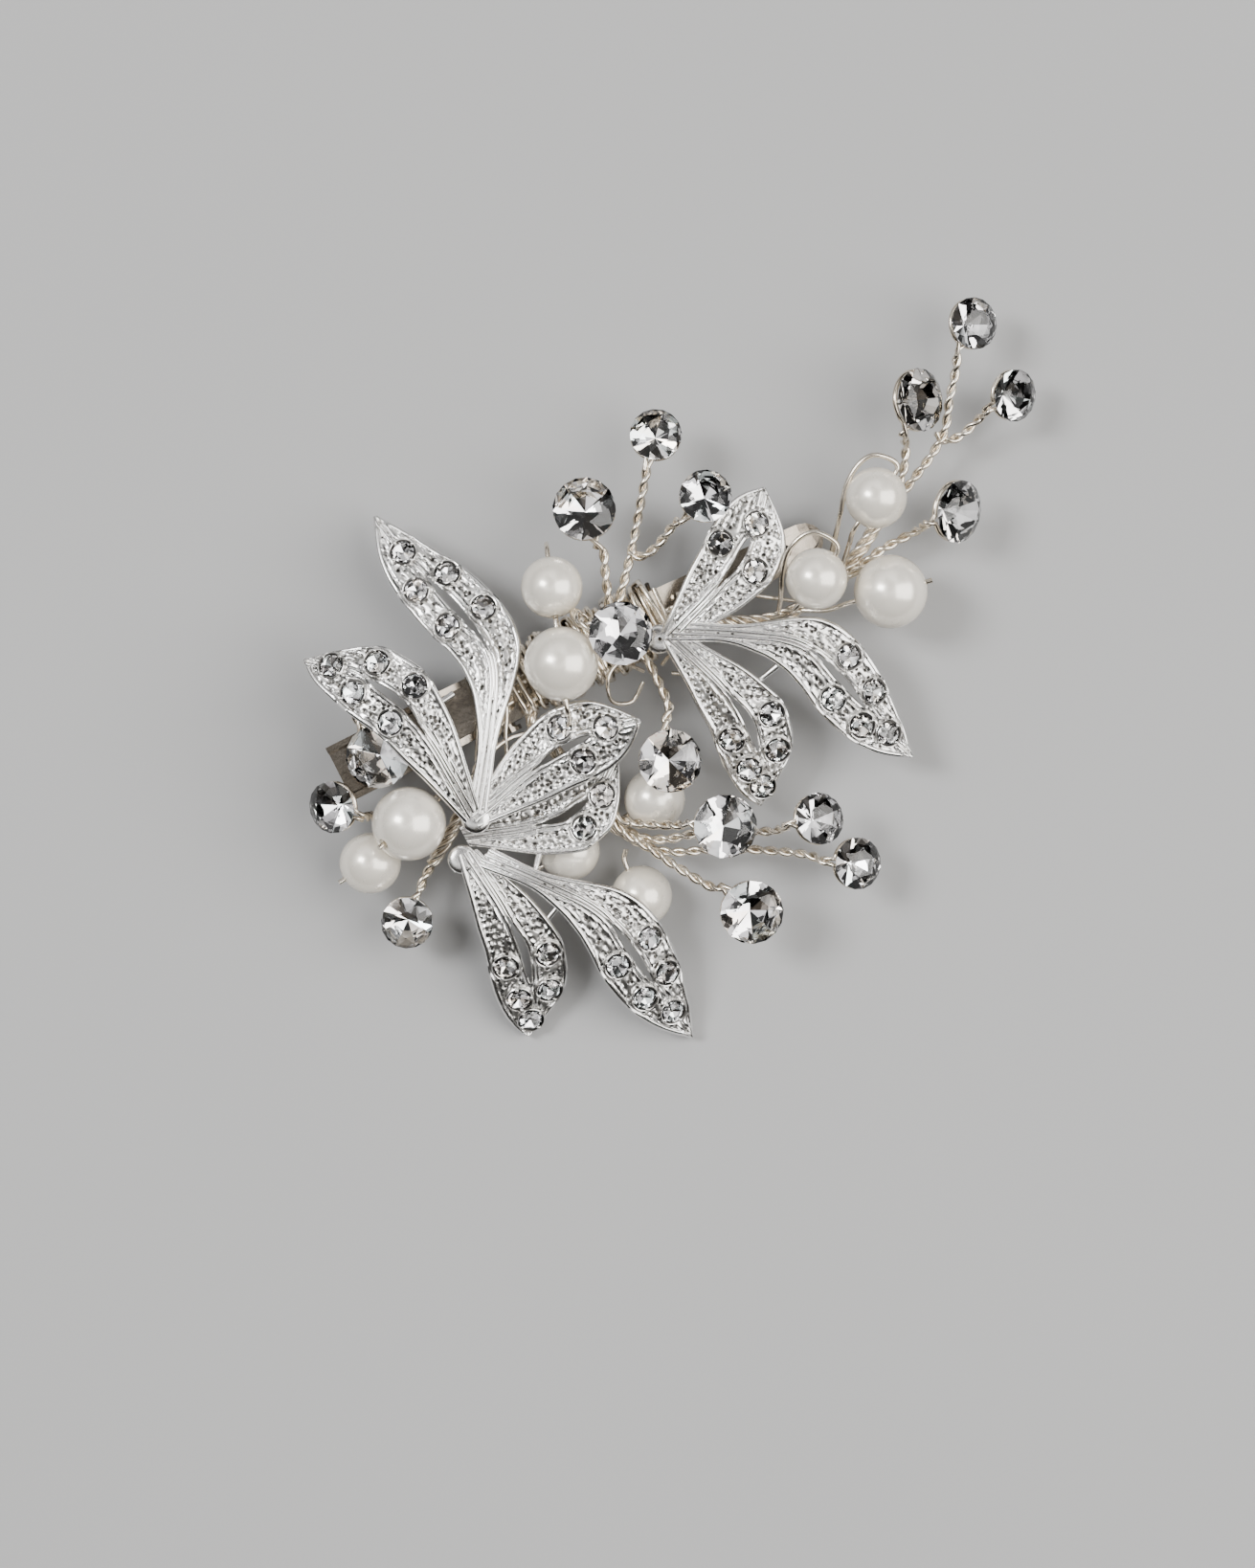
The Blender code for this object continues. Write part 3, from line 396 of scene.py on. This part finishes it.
def mesh_piece(name, shape, materials, nodes=(), smooth_below=None):
    bmesh.ops.scale(shape, vec=(MM, MM, MM), verts=shape.verts)
    mesh = bpy.data.meshes.new(name)
    shape.to_mesh(mesh)
    shape.free()
    for each in materials:
        mesh.materials.append(each)
    if smooth_below is not None:
        mesh.shade_smooth()
        mesh.set_sharp_from_angle(angle=math.radians(smooth_below))
    return finish_piece(bpy.data.objects.new(name, mesh), nodes)


def wire_piece(name, strands, radius, nodes=(), resolution=3, made_of=None,
               body_name=JAW):
    """One or more strands of round wire. Each strand is a list of points in mm."""
    curve = bpy.data.curves.new(name, "CURVE")
    curve.dimensions = "3D"
    curve.bevel_depth = radius * MM
    curve.bevel_resolution = resolution
    curve.use_fill_caps = True
    for strand in strands:
        line = curve.splines.new("POLY")
        line.points.add(len(strand) - 1)
        for point, place in zip(line.points, strand):
            point.co = (*(np.array(place) * MM), 1.0)
        line.use_smooth = True
    curve.materials.append(made_of or WIRE)
    return finish_piece(bpy.data.objects.new(name, curve), nodes, body_name)


def smooth_route(points, steps):
    """Read a smooth curve through given points (Catmull-Rom)."""
    points = [np.array(point, float) for point in points]
    ends = [2 * points[0] - points[1], *points, 2 * points[-1] - points[-2]]
    route = []
    for before, start, end, after in zip(ends, ends[1:], ends[2:], ends[3:]):
        for step in range(steps):
            t = step / steps
            route.append(0.5 * (2 * start + (end - before) * t
                                + (2 * before - 5 * start + 4 * end - after) * t * t
                                + (3 * start - before - 3 * end + after) * t ** 3))
    route.append(points[-1])
    return route


def even_route(route, spacing):
    """The same route with its points a fixed distance apart."""
    route = np.array(route)
    lengths = np.concatenate([[0.0], np.cumsum(np.linalg.norm(np.diff(route, axis=0), axis=1))])
    count = max(int(lengths[-1] / spacing), 2)
    at = np.linspace(0.0, lengths[-1], count + 1)
    return np.stack([np.interp(at, lengths, route[:, axis]) for axis in range(3)], axis=1), at


def twisted(route, strands, radius, pitch, phase=0.0, spacing=0.22):
    """Strands wound round a route, side by side."""
    centre, at = even_route(route, spacing)
    direction = np.gradient(centre, axis=0)
    direction /= np.linalg.norm(direction, axis=1)[:, None]
    side = np.cross(direction[0], (0.3, 0.2, 1.0))
    lines = [[] for _ in range(strands)]
    for point, forward, length in zip(centre, direction, at):
        side = side - forward * np.dot(side, forward)
        side /= np.linalg.norm(side)
        other = np.cross(forward, side)
        for number in range(strands):
            angle = phase + math.tau * (length / pitch + number / strands)
            lines[number].append(point + radius * (math.cos(angle) * side + math.sin(angle) * other))
    return lines


def node_points(name):
    return np.array([vert.co[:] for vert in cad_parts[name].data.vertices]) / MM


def stone_pose(name):
    """A crystal's centre, radius and turn, from its CAD solid: it is flattest along its axis."""
    points = np.unique(np.round(node_points(name), 3), axis=0)
    spread = points - points.mean(axis=0)
    axis = np.linalg.eigh(spread.T @ spread)[1][:, 0]
    if axis[2] < 0:
        axis = -axis
    middle = points.mean(axis=0)
    for _ in range(4):
        offsets = points - middle
        away = np.linalg.norm(offsets - np.outer(offsets @ axis, axis), axis=1)
        girdle = points[away > 0.93 * away.max()]
        middle = girdle.mean(axis=0)
        axis = np.linalg.svd(girdle - middle)[2][2]
        if axis[2] < 0:
            axis = -axis
    radius = np.linalg.norm(girdle - middle, axis=1).max()
    turn = Vector((0, 0, 1)).rotation_difference(Vector(axis)).to_matrix().to_4x4()
    return Matrix.Translation(middle) @ turn, radius


def ball_pose(name):
    """A pearl's centre, radius and the direction of its hole, from its CAD solid."""
    points = np.unique(np.round(node_points(name), 3), axis=0)
    middle = points.mean(axis=0)
    spread = points - middle
    axis = np.linalg.eigh(spread.T @ spread)[1][:, 2]
    radius = np.linalg.norm(spread, axis=1).max()
    turn = Vector((0, 0, 1)).rotation_difference(Vector(axis)).to_matrix().to_4x4()
    return Matrix.Translation(middle) @ turn, radius


# ---- crystals ---------------------------------------------------------------------------------
CRYSTAL_SPIN = 0.61             # radians by which each crystal is turned on from the one before
CRYSTAL_FIT = 0.99              # share of the CAD radius, so that the girdle stays inside it


def add_brilliant(shape, placing, radius, crown=0.30, depth=0.78, table=0.52, sides=8):
    """Add a round brilliant: slot 0 is the clear crown, slot 1 the mirrored back."""
    rim = 0.03
    half_step = math.pi / sides
    middle = 0.79
    crown_slope = crown / (1.0 - table)
    middle_height = rim + crown - (middle * math.cos(half_step) - table) * crown_slope * 0.92
    rings = [(table, rim + crown, sides, 0.0), (middle, middle_height, sides, 0.5),
             (1.0, rim, 2 * sides, 0.0), (1.0, -rim, sides, 0.5), (0.0, -rim - depth, 1, 0.0)]
    points = []
    for across, height, count, phase in rings:
        for i in range(count):
            angle = math.tau * (i + phase) / count
            points.append(shape.verts.new((radius * across * math.cos(angle),
                                           radius * across * math.sin(angle), radius * height)))
    bmesh.ops.convex_hull(shape, input=points)
    faces = list({face for point in points for face in point.link_faces})
    bmesh.ops.recalc_face_normals(shape, faces=faces)
    bmesh.ops.dissolve_limit(shape, angle_limit=math.radians(1.0), verts=points,
                             edges=list({edge for face in faces for edge in face.edges}))
    for face in {face for point in points if point.is_valid for face in point.link_faces}:
        face.normal_update()
        face.material_index = 0 if face.normal.z > -0.05 else 1
    bmesh.ops.transform(shape, matrix=placing, verts=[point for point in points if point.is_valid])


def crystals():
    for number in STEM_ROUTES:
        name = f"crystal_{number:02d}"
        placing, radius = stone_pose(name)
        spin = Matrix.Rotation(CRYSTAL_SPIN * number, 4, "Z")
        shape = bmesh.new()
        add_brilliant(shape, placing @ spin, radius * CRYSTAL_FIT)
        mesh_piece(f"{name}_stone", shape, [CROWN, FOIL], [name])


def crystal_stems():
    """One length of wire for each crystal: up the stem, round the girdle, and back down."""
    for number, (heading, route) in STEM_ROUTES.items():
        placing, radius = stone_pose(f"crystal_{number:02d}")
        placing = placing @ Matrix.Translation((0.0, 0.0, -LOOP_DROP))
        loop_radius = radius - BACK_SLOPE * LOOP_DROP + STRAND - NESTLE
        start = math.radians(heading)
        out = Vector((math.cos(start), math.sin(start), 0.0))
        neck = placing @ (out * (loop_radius + NECK_REACH))
        down = smooth_route([tuple(neck), *route], 8)
        first, second = twisted(down, 2, STRAND, TWIST_PITCH, phase=number)
        opening = 0.14          # radians of the loop left open on each side of the neck
        loop = []
        for angle in np.linspace(start + opening, start + math.tau - opening, 56):
            point = Vector((loop_radius * math.cos(angle), loop_radius * math.sin(angle), 0.0))
            loop.append(np.array(placing @ point))
        strand = first[::-1] + loop + second[1:]
        name = f"crystal_stem_{number:02d}"
        wire_piece(f"{name}_wire", [strand], STRAND, [name])


# ---- pearls -----------------------------------------------------------------------------------
def pearls():
    """Balls turned about their drilled holes, with a softened mouth."""
    sides = 56
    bore = 0.42                 # radius of the hole
    softening = 0.09            # how far the hole's mouth is rounded
    countersink = 0.12
    for number in range(1, 11):
        name = f"pearl_{number:02d}"
        placing, radius = ball_pose(name)
        mouth = math.asin((bore + softening) / radius)
        outline = [(radius * math.sin(angle), radius * math.cos(angle))
                   for angle in np.linspace(mouth, math.pi - mouth, 30)]
        lip = radius * math.cos(mouth)
        outline = [(bore, lip - countersink), *outline, (bore, countersink - lip)]
        shape = bmesh.new()
        loop = [shape.verts.new((r, 0.0, z)) for r, z in outline]
        edges = [shape.edges.new(pair) for pair in zip(loop, loop[1:])]
        edges.append(shape.edges.new((loop[-1], loop[0])))
        bmesh.ops.spin(shape, geom=loop + edges, cent=(0, 0, 0), axis=(0, 0, 1), angle=math.tau,
                       steps=sides, use_merge=True)
        bmesh.ops.remove_doubles(shape, verts=shape.verts, dist=0.001)
        bmesh.ops.recalc_face_normals(shape, faces=shape.faces)
        bmesh.ops.transform(shape, matrix=placing, verts=shape.verts)
        mesh_piece(f"{name}_ball", shape, [PEARL], [name], 50)


WIRE_OVERRUN = 0.5              # how far a wire runs straight on beyond a pearl


def pearl_wires():
    """Single wires that pass through the pearls, some with an arc outside."""
    for name, stops in PEARL_WIRES.items():
        route = []
        for stop in stops:
            if isinstance(stop, int):
                placing, radius = ball_pose(f"pearl_{stop:02d}")
                axis = np.array(placing.to_3x3() @ Vector((0, 0, 1)))
                centre = np.array(placing.translation)
                if np.dot(axis, np.array(WIRE_HEADINGS[stop])) < 0:
                    axis = -axis
                reach = axis * (radius + WIRE_OVERRUN)
                route += [centre - reach, centre, centre + reach]
            else:
                route.append(stop)
        wire_piece(f"{name}_strand", [smooth_route(route, 10)], STRAND, [name])


# ---- bundles and binding ----------------------------------------------------------------------
BUNDLED_STRAND = 0.18           # radius of a strand in a bundle, and of a stray one
STRAY_STRAND = 0.17
WOUND_HALF_WIDTH = 2.65         # of the binding round the bar
WOUND_RISE = 0.25               # air over the bundles
WOUND_DROP = 1.3                # from the jaw's top face to the wire below it
WOUND_CROWN = 0.35              # how much the binding bulges over the bundles
WOUND_SQUARENESS = 1.25         # 1 would be an oval


def jaw_height(x):
    """Top face of the upper jaw."""
    return float(np.interp(x, [spot[0] for spot in JAW_LINE], [spot[1] for spot in JAW_LINE]))


def bundles():
    """Stems gathered and twisted together."""
    for name, stops in BUNDLES.items():
        route = smooth_route(stops, 8)
        inner = twisted(route, 3, radius=0.2, pitch=3.1, spacing=0.3)
        outer = twisted(route, 4, radius=0.42, pitch=4.6, phase=0.5, spacing=0.3)
        wire_piece(f"{name}_strands", inner + outer, BUNDLED_STRAND, [name])


def wound(start_x, end_x, pitch, lift, phase, wander):
    """A helix that hugs the jaw and the bundles on it."""
    steps = int((end_x - start_x) / pitch * 20)
    points = []
    for step in range(steps + 1):
        share = step / steps
        angle = phase + math.tau * (end_x - start_x) / pitch * share
        x = start_x + (end_x - start_x) * share + wander * math.sin(angle * 0.37 + phase)
        top = jaw_height(x) + 2 * TRUNK_RADIUS + WOUND_RISE + lift
        bottom = jaw_height(x) - WOUND_DROP - lift
        across = max(-1.0, min(1.0, WOUND_SQUARENESS * math.cos(angle)))
        rise = max(-1.0, min(1.0, WOUND_SQUARENESS * math.sin(angle)))
        crown = WOUND_CROWN * (1.0 - across * across) * max(rise, 0.0)
        crown += wander * math.sin(angle * 0.23)
        height = (top + bottom + rise * (top - bottom)) / 2 + crown
        points.append((x, across * (WOUND_HALF_WIDTH + lift), height))
    return points


def binding():
    """Wire wound over and over round the bar, and stray lengths that tie the sprigs down."""
    layers = [wound(-6.5, BIND_START_X, 0.8, 0.0, 0.4, 0.1),
              wound(BIND_START_X, BIND_END_X, 0.52, 0.0, 0.0, 0.10),
              wound(BIND_END_X, BIND_START_X, -1.35, 0.3, 1.0, 0.35),
              wound(BIND_START_X + 0.4, BIND_END_X - 0.3, 2.1, 0.42, 2.2, 0.5)]
    wire_piece("binding_coil_layers", layers, STRAND, ["binding_coil"])
    strays = [smooth_route(stops, 8) for stops in STRAY_WIRES]
    wire_piece("stray_binding", strays, STRAY_STRAND)


# ---- leaves -----------------------------------------------------------------------------------
def read_profile(profile, share):
    """A soft curve through a few (share, value) pairs."""
    shares = [pair[0] for pair in profile]
    values = [pair[1] for pair in profile]
    reach = min(0.05, share, 1.0 - share)
    spots = np.linspace(share - reach, share + reach, 5)
    return float(np.interp(spots, shares, values).mean())


def leaf_ground(leaf, share, across):
    """A point on a leaf's smooth top face, and the leaf's half width there."""
    form, base, tip, bow, heights, slope, _ = leaf
    base = np.array(base)
    along = np.array(tip) - base
    length = np.linalg.norm(along)
    along = along / length
    sideways = np.array((-along[1], along[0]))
    half = read_profile(form["half"], share)
    offset = bow * read_profile(form["bow"], share)
    offset += math.copysign(across * half, bow * across)
    ground = base + along * length * share + sideways * offset
    low, middle, high = heights
    height = (low * (1 - share) * (1 - 2 * share) + 4 * middle * share * (1 - share)
              + high * share * (2 * share - 1))
    height += slope * across * half - 0.35 * across * across * half / 3.0
    return np.array((ground[0], ground[1], height)), half


def hill(distance, width):
    """A round bump across a line: 1 on the line and 0 at its width."""
    share = min(abs(distance) / width, 1.0)
    return math.sqrt(1.0 - share * share)


def ease(value, start, width):
    """0 up to the start, then a straight rise to 1 over the width."""
    return min(max((value - start) / width, 0.0), 1.0)


def scatter(spot, step):
    """A repeatable number from 0 to 1 for a place on a grid."""
    return math.modf(abs(math.sin(spot * 12.9898 + step * 78.233) * 43758.5453))[0]


def pit(along_mm, across_mm):
    """Small round pits on a jittered grid: 1 in the middle of a pit and 0 outside it."""
    step = 0.62                 # mm between pits
    pit_radius = 0.24
    column, row = math.floor(along_mm / step), math.floor(across_mm / step)
    deepest = 0.0
    for i in (column - 1, column, column + 1):
        for j in (row - 1, row, row + 1):
            middle_x = (i + 0.25 + 0.5 * scatter(i, j)) * step
            middle_y = (j + 0.25 + 0.5 * scatter(j, i + 31)) * step
            away = math.hypot(along_mm - middle_x, across_mm - middle_y)
            deepest = max(deepest, 1.0 - away / pit_radius)
    return deepest


def leaf_relief(leaf, share, across, half, stones, ground):
    """The cast relief: a rim, a row of grains, two raised veins, pitted lobes and stone seats."""
    edge = (1.0 - abs(across)) * half
    middle = abs(across) * half
    length = math.dist(leaf[1], leaf[2])
    along = share * length
    rim = 0.24 * hill(edge - 0.22, 0.24)
    broad = ease(half, 1.25, 0.5)
    beads = 0.3 + 0.7 * max(math.cos(math.tau * along / GRAIN_PITCH), 0.0)
    grains = 0.12 * broad * hill(edge - 0.66, 0.17) * beads
    start, end = leaf[0]["slot"]
    open_share = ease(share, start, end - start)
    vein_place = 0.26 + 0.26 * math.sin(math.pi * open_share)
    vein = 0.24 * hill(middle - vein_place, 0.2)
    inner_vein = 0.10 * broad * hill(middle - vein_place - 0.42, 0.13)
    lobes = ease(edge, 0.45, 0.2) * ease(middle - vein_place, 0.3, 0.2)
    relief = rim + grains + vein + inner_vein - PIT_DEPTH * lobes * pit(along, across * half)
    for stone in stones:
        away = math.dist(ground, stone)
        if away < SEAT_RADIUS:
            return -SEAT_DEPTH
        if away < CLEARED_RADIUS:
            fade = (away - SEAT_RADIUS) / (CLEARED_RADIUS - SEAT_RADIUS)
            relief = relief * fade - 0.06 * (1.0 - fade)
    return relief


def leaf_plate(name, leaf, nodes):
    """One leaf: two lobes beside a tapered slot, with their relief."""
    rows, columns = 132, 26
    shape = bmesh.new()
    relief_layer = shape.verts.layers.float.new("relief")
    slot_start, slot_end = leaf[0]["slot"]
    slot_start -= 0.05
    stones = [leaf_ground(leaf, share, across)[0][:2] for share, across in leaf[6]]
    grids = {-1: [], 1: []}
    for row in range(rows + 1):
        share = row / rows
        open_share = ease(share, slot_start, slot_end - slot_start)
        _, half = leaf_ground(leaf, share, 0.0)
        slot_half = SLOT_HALF_WIDTH * math.sin(math.pi * open_share ** 1.4) ** 0.7 / half
        for side, grid in grids.items():
            line = []
            for column in range(columns + 1):
                across = side * (slot_half + (1.0 - slot_half) * column / columns)
                point, half = leaf_ground(leaf, share, across)
                vert = shape.verts.new((point[0], point[1], point[2] - LEAF_THICKNESS))
                vert[relief_layer] = leaf_relief(leaf, share, across, half, stones, point[:2])
                line.append(vert)
            grid.append(line)
    for grid in grids.values():
        for line, following in zip(grid, grid[1:]):
            for column in range(columns):
                face = shape.faces.new((line[column], line[column + 1], following[column + 1],
                                        following[column]))
                highest = max(vert[relief_layer] for vert in face.verts)
                face.material_index = 2 if highest < PIT_FLOOR else int(highest < POLISHED_ABOVE)
    bmesh.ops.remove_doubles(shape, verts=shape.verts, dist=0.002)
    bmesh.ops.recalc_face_normals(shape, faces=shape.faces)
    raised = bmesh.ops.extrude_face_region(shape, geom=shape.faces[:])
    for item in raised["geom"]:
        if isinstance(item, bmesh.types.BMVert):
            item.co.z += LEAF_THICKNESS + item[relief_layer]
    bmesh.ops.recalc_face_normals(shape, faces=shape.faces)
    return mesh_piece(name, shape, [SILVER, PITTED, DARK_PIT_METAL], nodes, 38)


def add_spun(shape, outline, placing, sides=24):
    """Add a ring turned from a closed outline of (radius, height) pairs."""
    rings = []
    for step in range(sides):
        angle = math.tau * step / sides
        rings.append([shape.verts.new((r * math.cos(angle), r * math.sin(angle), z))
                      for r, z in outline])
    count = len(outline)
    for step in range(sides):
        ring, following = rings[step], rings[(step + 1) % sides]
        for i in range(count):
            j = (i + 1) % count
            shape.faces.new((ring[i], following[i], following[j], ring[j]))
    bmesh.ops.transform(shape, matrix=placing, verts=[vert for ring in rings for vert in ring])


def leaf_settings(name, leaf, nodes):
    """The leaf's set stones: a near-black seat as painted shade round each stone, a thin bezel and
    four grains over each edge.
    """
    bezels = bmesh.new()
    seats = bmesh.new()
    stones = bmesh.new()
    bezel_outline = [(SEAT_RADIUS, -0.3), (BEZEL_RADIUS, -0.3), (BEZEL_RADIUS, 0.04),
                     (BEZEL_RADIUS - 0.04, 0.08), (SEAT_RADIUS + 0.02, 0.06)]
    # the seat cup that shows round the stone, coloured near black as painted shade
    seat_outline = [(0.2, -0.42), (SEAT_RADIUS + 0.01, -0.42), (SEAT_RADIUS + 0.01, -0.02),
                    (SEAT_RADIUS - 0.04, -0.02), (SEAT_RADIUS - 0.06, -0.3), (0.2, -0.34)]
    for index, (share, across) in enumerate(leaf[6]):
        spot, _ = leaf_ground(leaf, share, across)
        ahead, _ = leaf_ground(leaf, share + 0.02, across)
        beside, _ = leaf_ground(leaf, share, across + 0.05)
        up = Vector(np.cross(ahead - spot, beside - spot)).normalized()
        if up.z < 0:
            up = -up
        turn = Vector((0, 0, 1)).rotation_difference(up).to_matrix().to_4x4()
        placing = Matrix.Translation(Vector(spot) + up * 0.12) @ turn
        add_spun(bezels, bezel_outline, placing, 28)
        add_spun(seats, seat_outline, placing, 28)
        for grain in range(4):
            angle = math.tau * (grain + 0.5 + 0.17 * index) / 4
            seat = placing @ Matrix.Translation((math.cos(angle), math.sin(angle), 0.1))
            bmesh.ops.create_icosphere(bezels, subdivisions=2, radius=0.17, matrix=seat)
        spin = Matrix.Rotation(index * 0.5, 4, "Z")
        add_brilliant(stones, placing @ spin, STONE_RADIUS, depth=0.4, table=0.45, sides=6)
    for shape in (bezels, seats):
        bmesh.ops.recalc_face_normals(shape, faces=shape.faces)
    mesh_piece(f"{name}_bezels", bezels, [BEZEL], nodes, 35)
    mesh_piece(f"{name}_seats", seats, [PAINTED_SHADE_SEAT], nodes, 35)
    mesh_piece(f"{name}_stones", stones, [CROWN, FOIL], nodes)


def leaf_hub(name, hub, nodes):
    """The small drilled middle into which the three leaves run."""
    x, y, z = hub
    outline = [(0.12, -0.85), (1.0, -0.85), (1.2, -0.6), (1.2, -0.15), (1.1, -0.02), (0.85, 0.07),
               (0.4, 0.12), (0.16, 0.1), (0.12, 0.0)]
    shape = bmesh.new()
    add_spun(shape, outline, Matrix.Translation((x, y, z)), 40)
    bmesh.ops.recalc_face_normals(shape, faces=shape.faces)
    mesh_piece(name, shape, [SILVER], nodes, 50)


def sprues():
    """Thin cast bars that join neighbouring leaves from below."""
    shape = bmesh.new()
    for low, high in SPRUES:
        line = Vector(high) - Vector(low)
        turn = Vector((0, 0, 1)).rotation_difference(line).to_matrix().to_4x4()
        placing = Matrix.Translation(low) @ turn
        outline = [(0.01, -0.3), (0.3, -0.25), (0.26, 0.5), (0.22, line.length / 2),
                   (0.26, line.length - 0.5), (0.3, line.length + 0.25), (0.01, line.length + 0.3)]
        add_spun(shape, outline, placing, 12)
    bmesh.ops.recalc_face_normals(shape, faces=shape.faces)
    mesh_piece("leaf_sprues", shape, [SILVER], [], 50)


def leaf_sprigs():
    for sprig, plan in LEAVES.items():
        node = [f"leaf_sprig_{sprig}"]
        leaf_hub(f"{sprig}_hub", plan["hub"], node)
        for number, leaf in enumerate(plan["leaves"], 1):
            leaf_plate(f"{sprig}_leaf_{number}", leaf, node)
            leaf_settings(f"{sprig}_leaf_{number}", leaf, node)


# ---- clip -------------------------------------------------------------------------------------
def clip():
    """The two jaws and the pin keep their CAD shape and take a nickel finish."""
    for name in ("clip_upper_jaw", "clip_lower_jaw", "clip_hinge_pin"):
        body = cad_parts[name]
        body.data.materials.clear()
        body.data.materials.append(STEEL)


def spring():
    """The coil and its lower leg stay with the lower jaw. The upper leg turns with the decorated
    jaw about the pin, and its last part of a turn slides along the coil."""
    half = SPRING_HALF_LENGTH
    hinge_x, hinge_z = HINGE
    start = -math.pi / 2
    end = start + math.tau * SPRING_TURNS

    def coil(first, last, steps):
        places = []
        for angle in np.linspace(first, last, steps):
            along = (angle - start) / (end - start)
            places.append((hinge_x + SPRING_COIL_RADIUS * math.cos(angle), half * (2 * along - 1),
                           hinge_z + SPRING_COIL_RADIUS * math.sin(angle)))
        return places

    coiled = [(SPRING_LEG_X, -half, LOWER_LEG_Z), *coil(start, end, 90)]
    leg = [*coil(end - SPRING_OVERLAP, end, 8), (SPRING_LEG_X, half, UPPER_LEG_Z)]
    wire_piece("clip_torsion_spring_coil", [coiled], SPRING_WIRE, ["clip_torsion_spring"],
               made_of=STEEL, body_name="lower_jaw")
    wire_piece("clip_torsion_spring_leg", [leg], SPRING_WIRE, made_of=STEEL)


# ---- stage, light and camera ------------------------------------------------------------------
def emitter(name, place, aim, size, power, colour=(1.0, 1.0, 1.0)):
    lamp = bpy.data.lights.new(name, "AREA")
    lamp.shape = "RECTANGLE"
    lamp.size, lamp.size_y = size
    lamp.energy = power
    lamp.color = colour
    body = bpy.data.objects.new(name, lamp)
    body.location = place
    body.rotation_euler = (Vector(place) - Vector(aim)).to_track_quat("Z", "Y").to_euler()
    bpy.context.scene.collection.objects.link(body)


def floor():
    nodes = Nodes("pale_floor")
    shades = [(0.3, (0.400, 0.402, 0.405)), (0.7, (0.420, 0.422, 0.425))]
    nodes.link(nodes.ramp(nodes.noise(9.0, 3.0), shades), nodes.shader.inputs["Base Color"])
    nodes.shader.inputs["Roughness"].default_value = 0.75
    shape = bmesh.new()
    bmesh.ops.create_grid(shape, x_segments=2, y_segments=2, size=3.0)
    mesh = bpy.data.meshes.new("floor")
    shape.to_mesh(mesh)
    shape.free()
    mesh.materials.append(nodes.material)
    body = bpy.data.objects.new("floor", mesh)
    bpy.context.scene.collection.objects.link(body)


FRAME_HEIGHT = 128.0            # mm of the scene that the picture's height covers
CAMERA_DISTANCE = 380.0
CAMERA_TURN = math.radians(-26.8)
AIM = (-1.5, -11.2, 4.0)


def camera():
    lens = bpy.data.cameras.new("camera")
    lens.sensor_width = 36.0
    lens.lens = 36.0 * CAMERA_DISTANCE / FRAME_HEIGHT
    lens.clip_start = 0.01
    body = bpy.data.objects.new("camera", lens)
    body.matrix_world = (Matrix.Translation(Vector(AIM) * MM)
                         @ Matrix.Rotation(CAMERA_TURN, 4, "Z")
                         @ Matrix.Translation((0.0, 0.0, CAMERA_DISTANCE * MM)))
    bpy.context.scene.collection.objects.link(body)
    bpy.context.scene.camera = body


def sky():
    """A studio that is bright overhead, with dark gaps between its panels and a dark near side."""
    world = bpy.data.worlds.new("room")
    world.use_nodes = True
    nodes = Tree(world.node_tree)
    direction = nodes.add("ShaderNodeTexCoord").outputs["Generated"]
    axes = nodes.add("ShaderNodeSeparateXYZ")
    nodes.link(direction, axes.inputs["Vector"])
    height = nodes.ramp(axes.outputs["Z"], [(0.25, (0.03, 0.03, 0.03)), (0.75, (1.0, 0.99, 0.98))])
    cloud = nodes.add("ShaderNodeTexNoise")
    cloud.inputs["Scale"].default_value = 2.0
    cloud.inputs["Detail"].default_value = 1.0
    nodes.link(direction, cloud.inputs["Vector"])
    panels = nodes.ramp(cloud.outputs["Fac"], [(0.49, (0.03, 0.03, 0.03)), (0.53, WHITE)])
    near = nodes.add("ShaderNodeVectorMath", operation="DOT_PRODUCT")
    near.inputs[1].default_value = Matrix.Rotation(CAMERA_TURN, 3, "Z") @ Vector((0.1, -1.0, 0.0))
    nodes.link(direction, near.inputs[0])
    side = nodes.ramp(near.outputs["Value"], [(0.12, WHITE), (0.34, (0.05, 0.045, 0.04))])
    background = world.node_tree.nodes["Background"]
    nodes.link(nodes.blend(nodes.blend(height, panels), side), background.inputs["Color"])
    background.inputs["Strength"].default_value = 1.5
    bpy.context.scene.world = world


def lights():
    turn = Matrix.Rotation(CAMERA_TURN, 3, "Z")
    aim = (0.0, -0.01, 0.0)
    emitter("left_window", tuple(turn @ Vector((-0.52, 0.20, 0.80))), aim, (0.24, 0.32), 7.0)
    emitter("right_window", tuple(turn @ Vector((0.66, 0.0, 0.74))), aim, (0.80, 1.0), 15.0,
            (1.0, 0.98, 0.95))


clip()
spring()
leaf_sprigs()
crystals()
crystal_stems()
pearls()
pearl_wires()
bundles()
binding()
sprues()
floor()
sky()
lights()
camera()
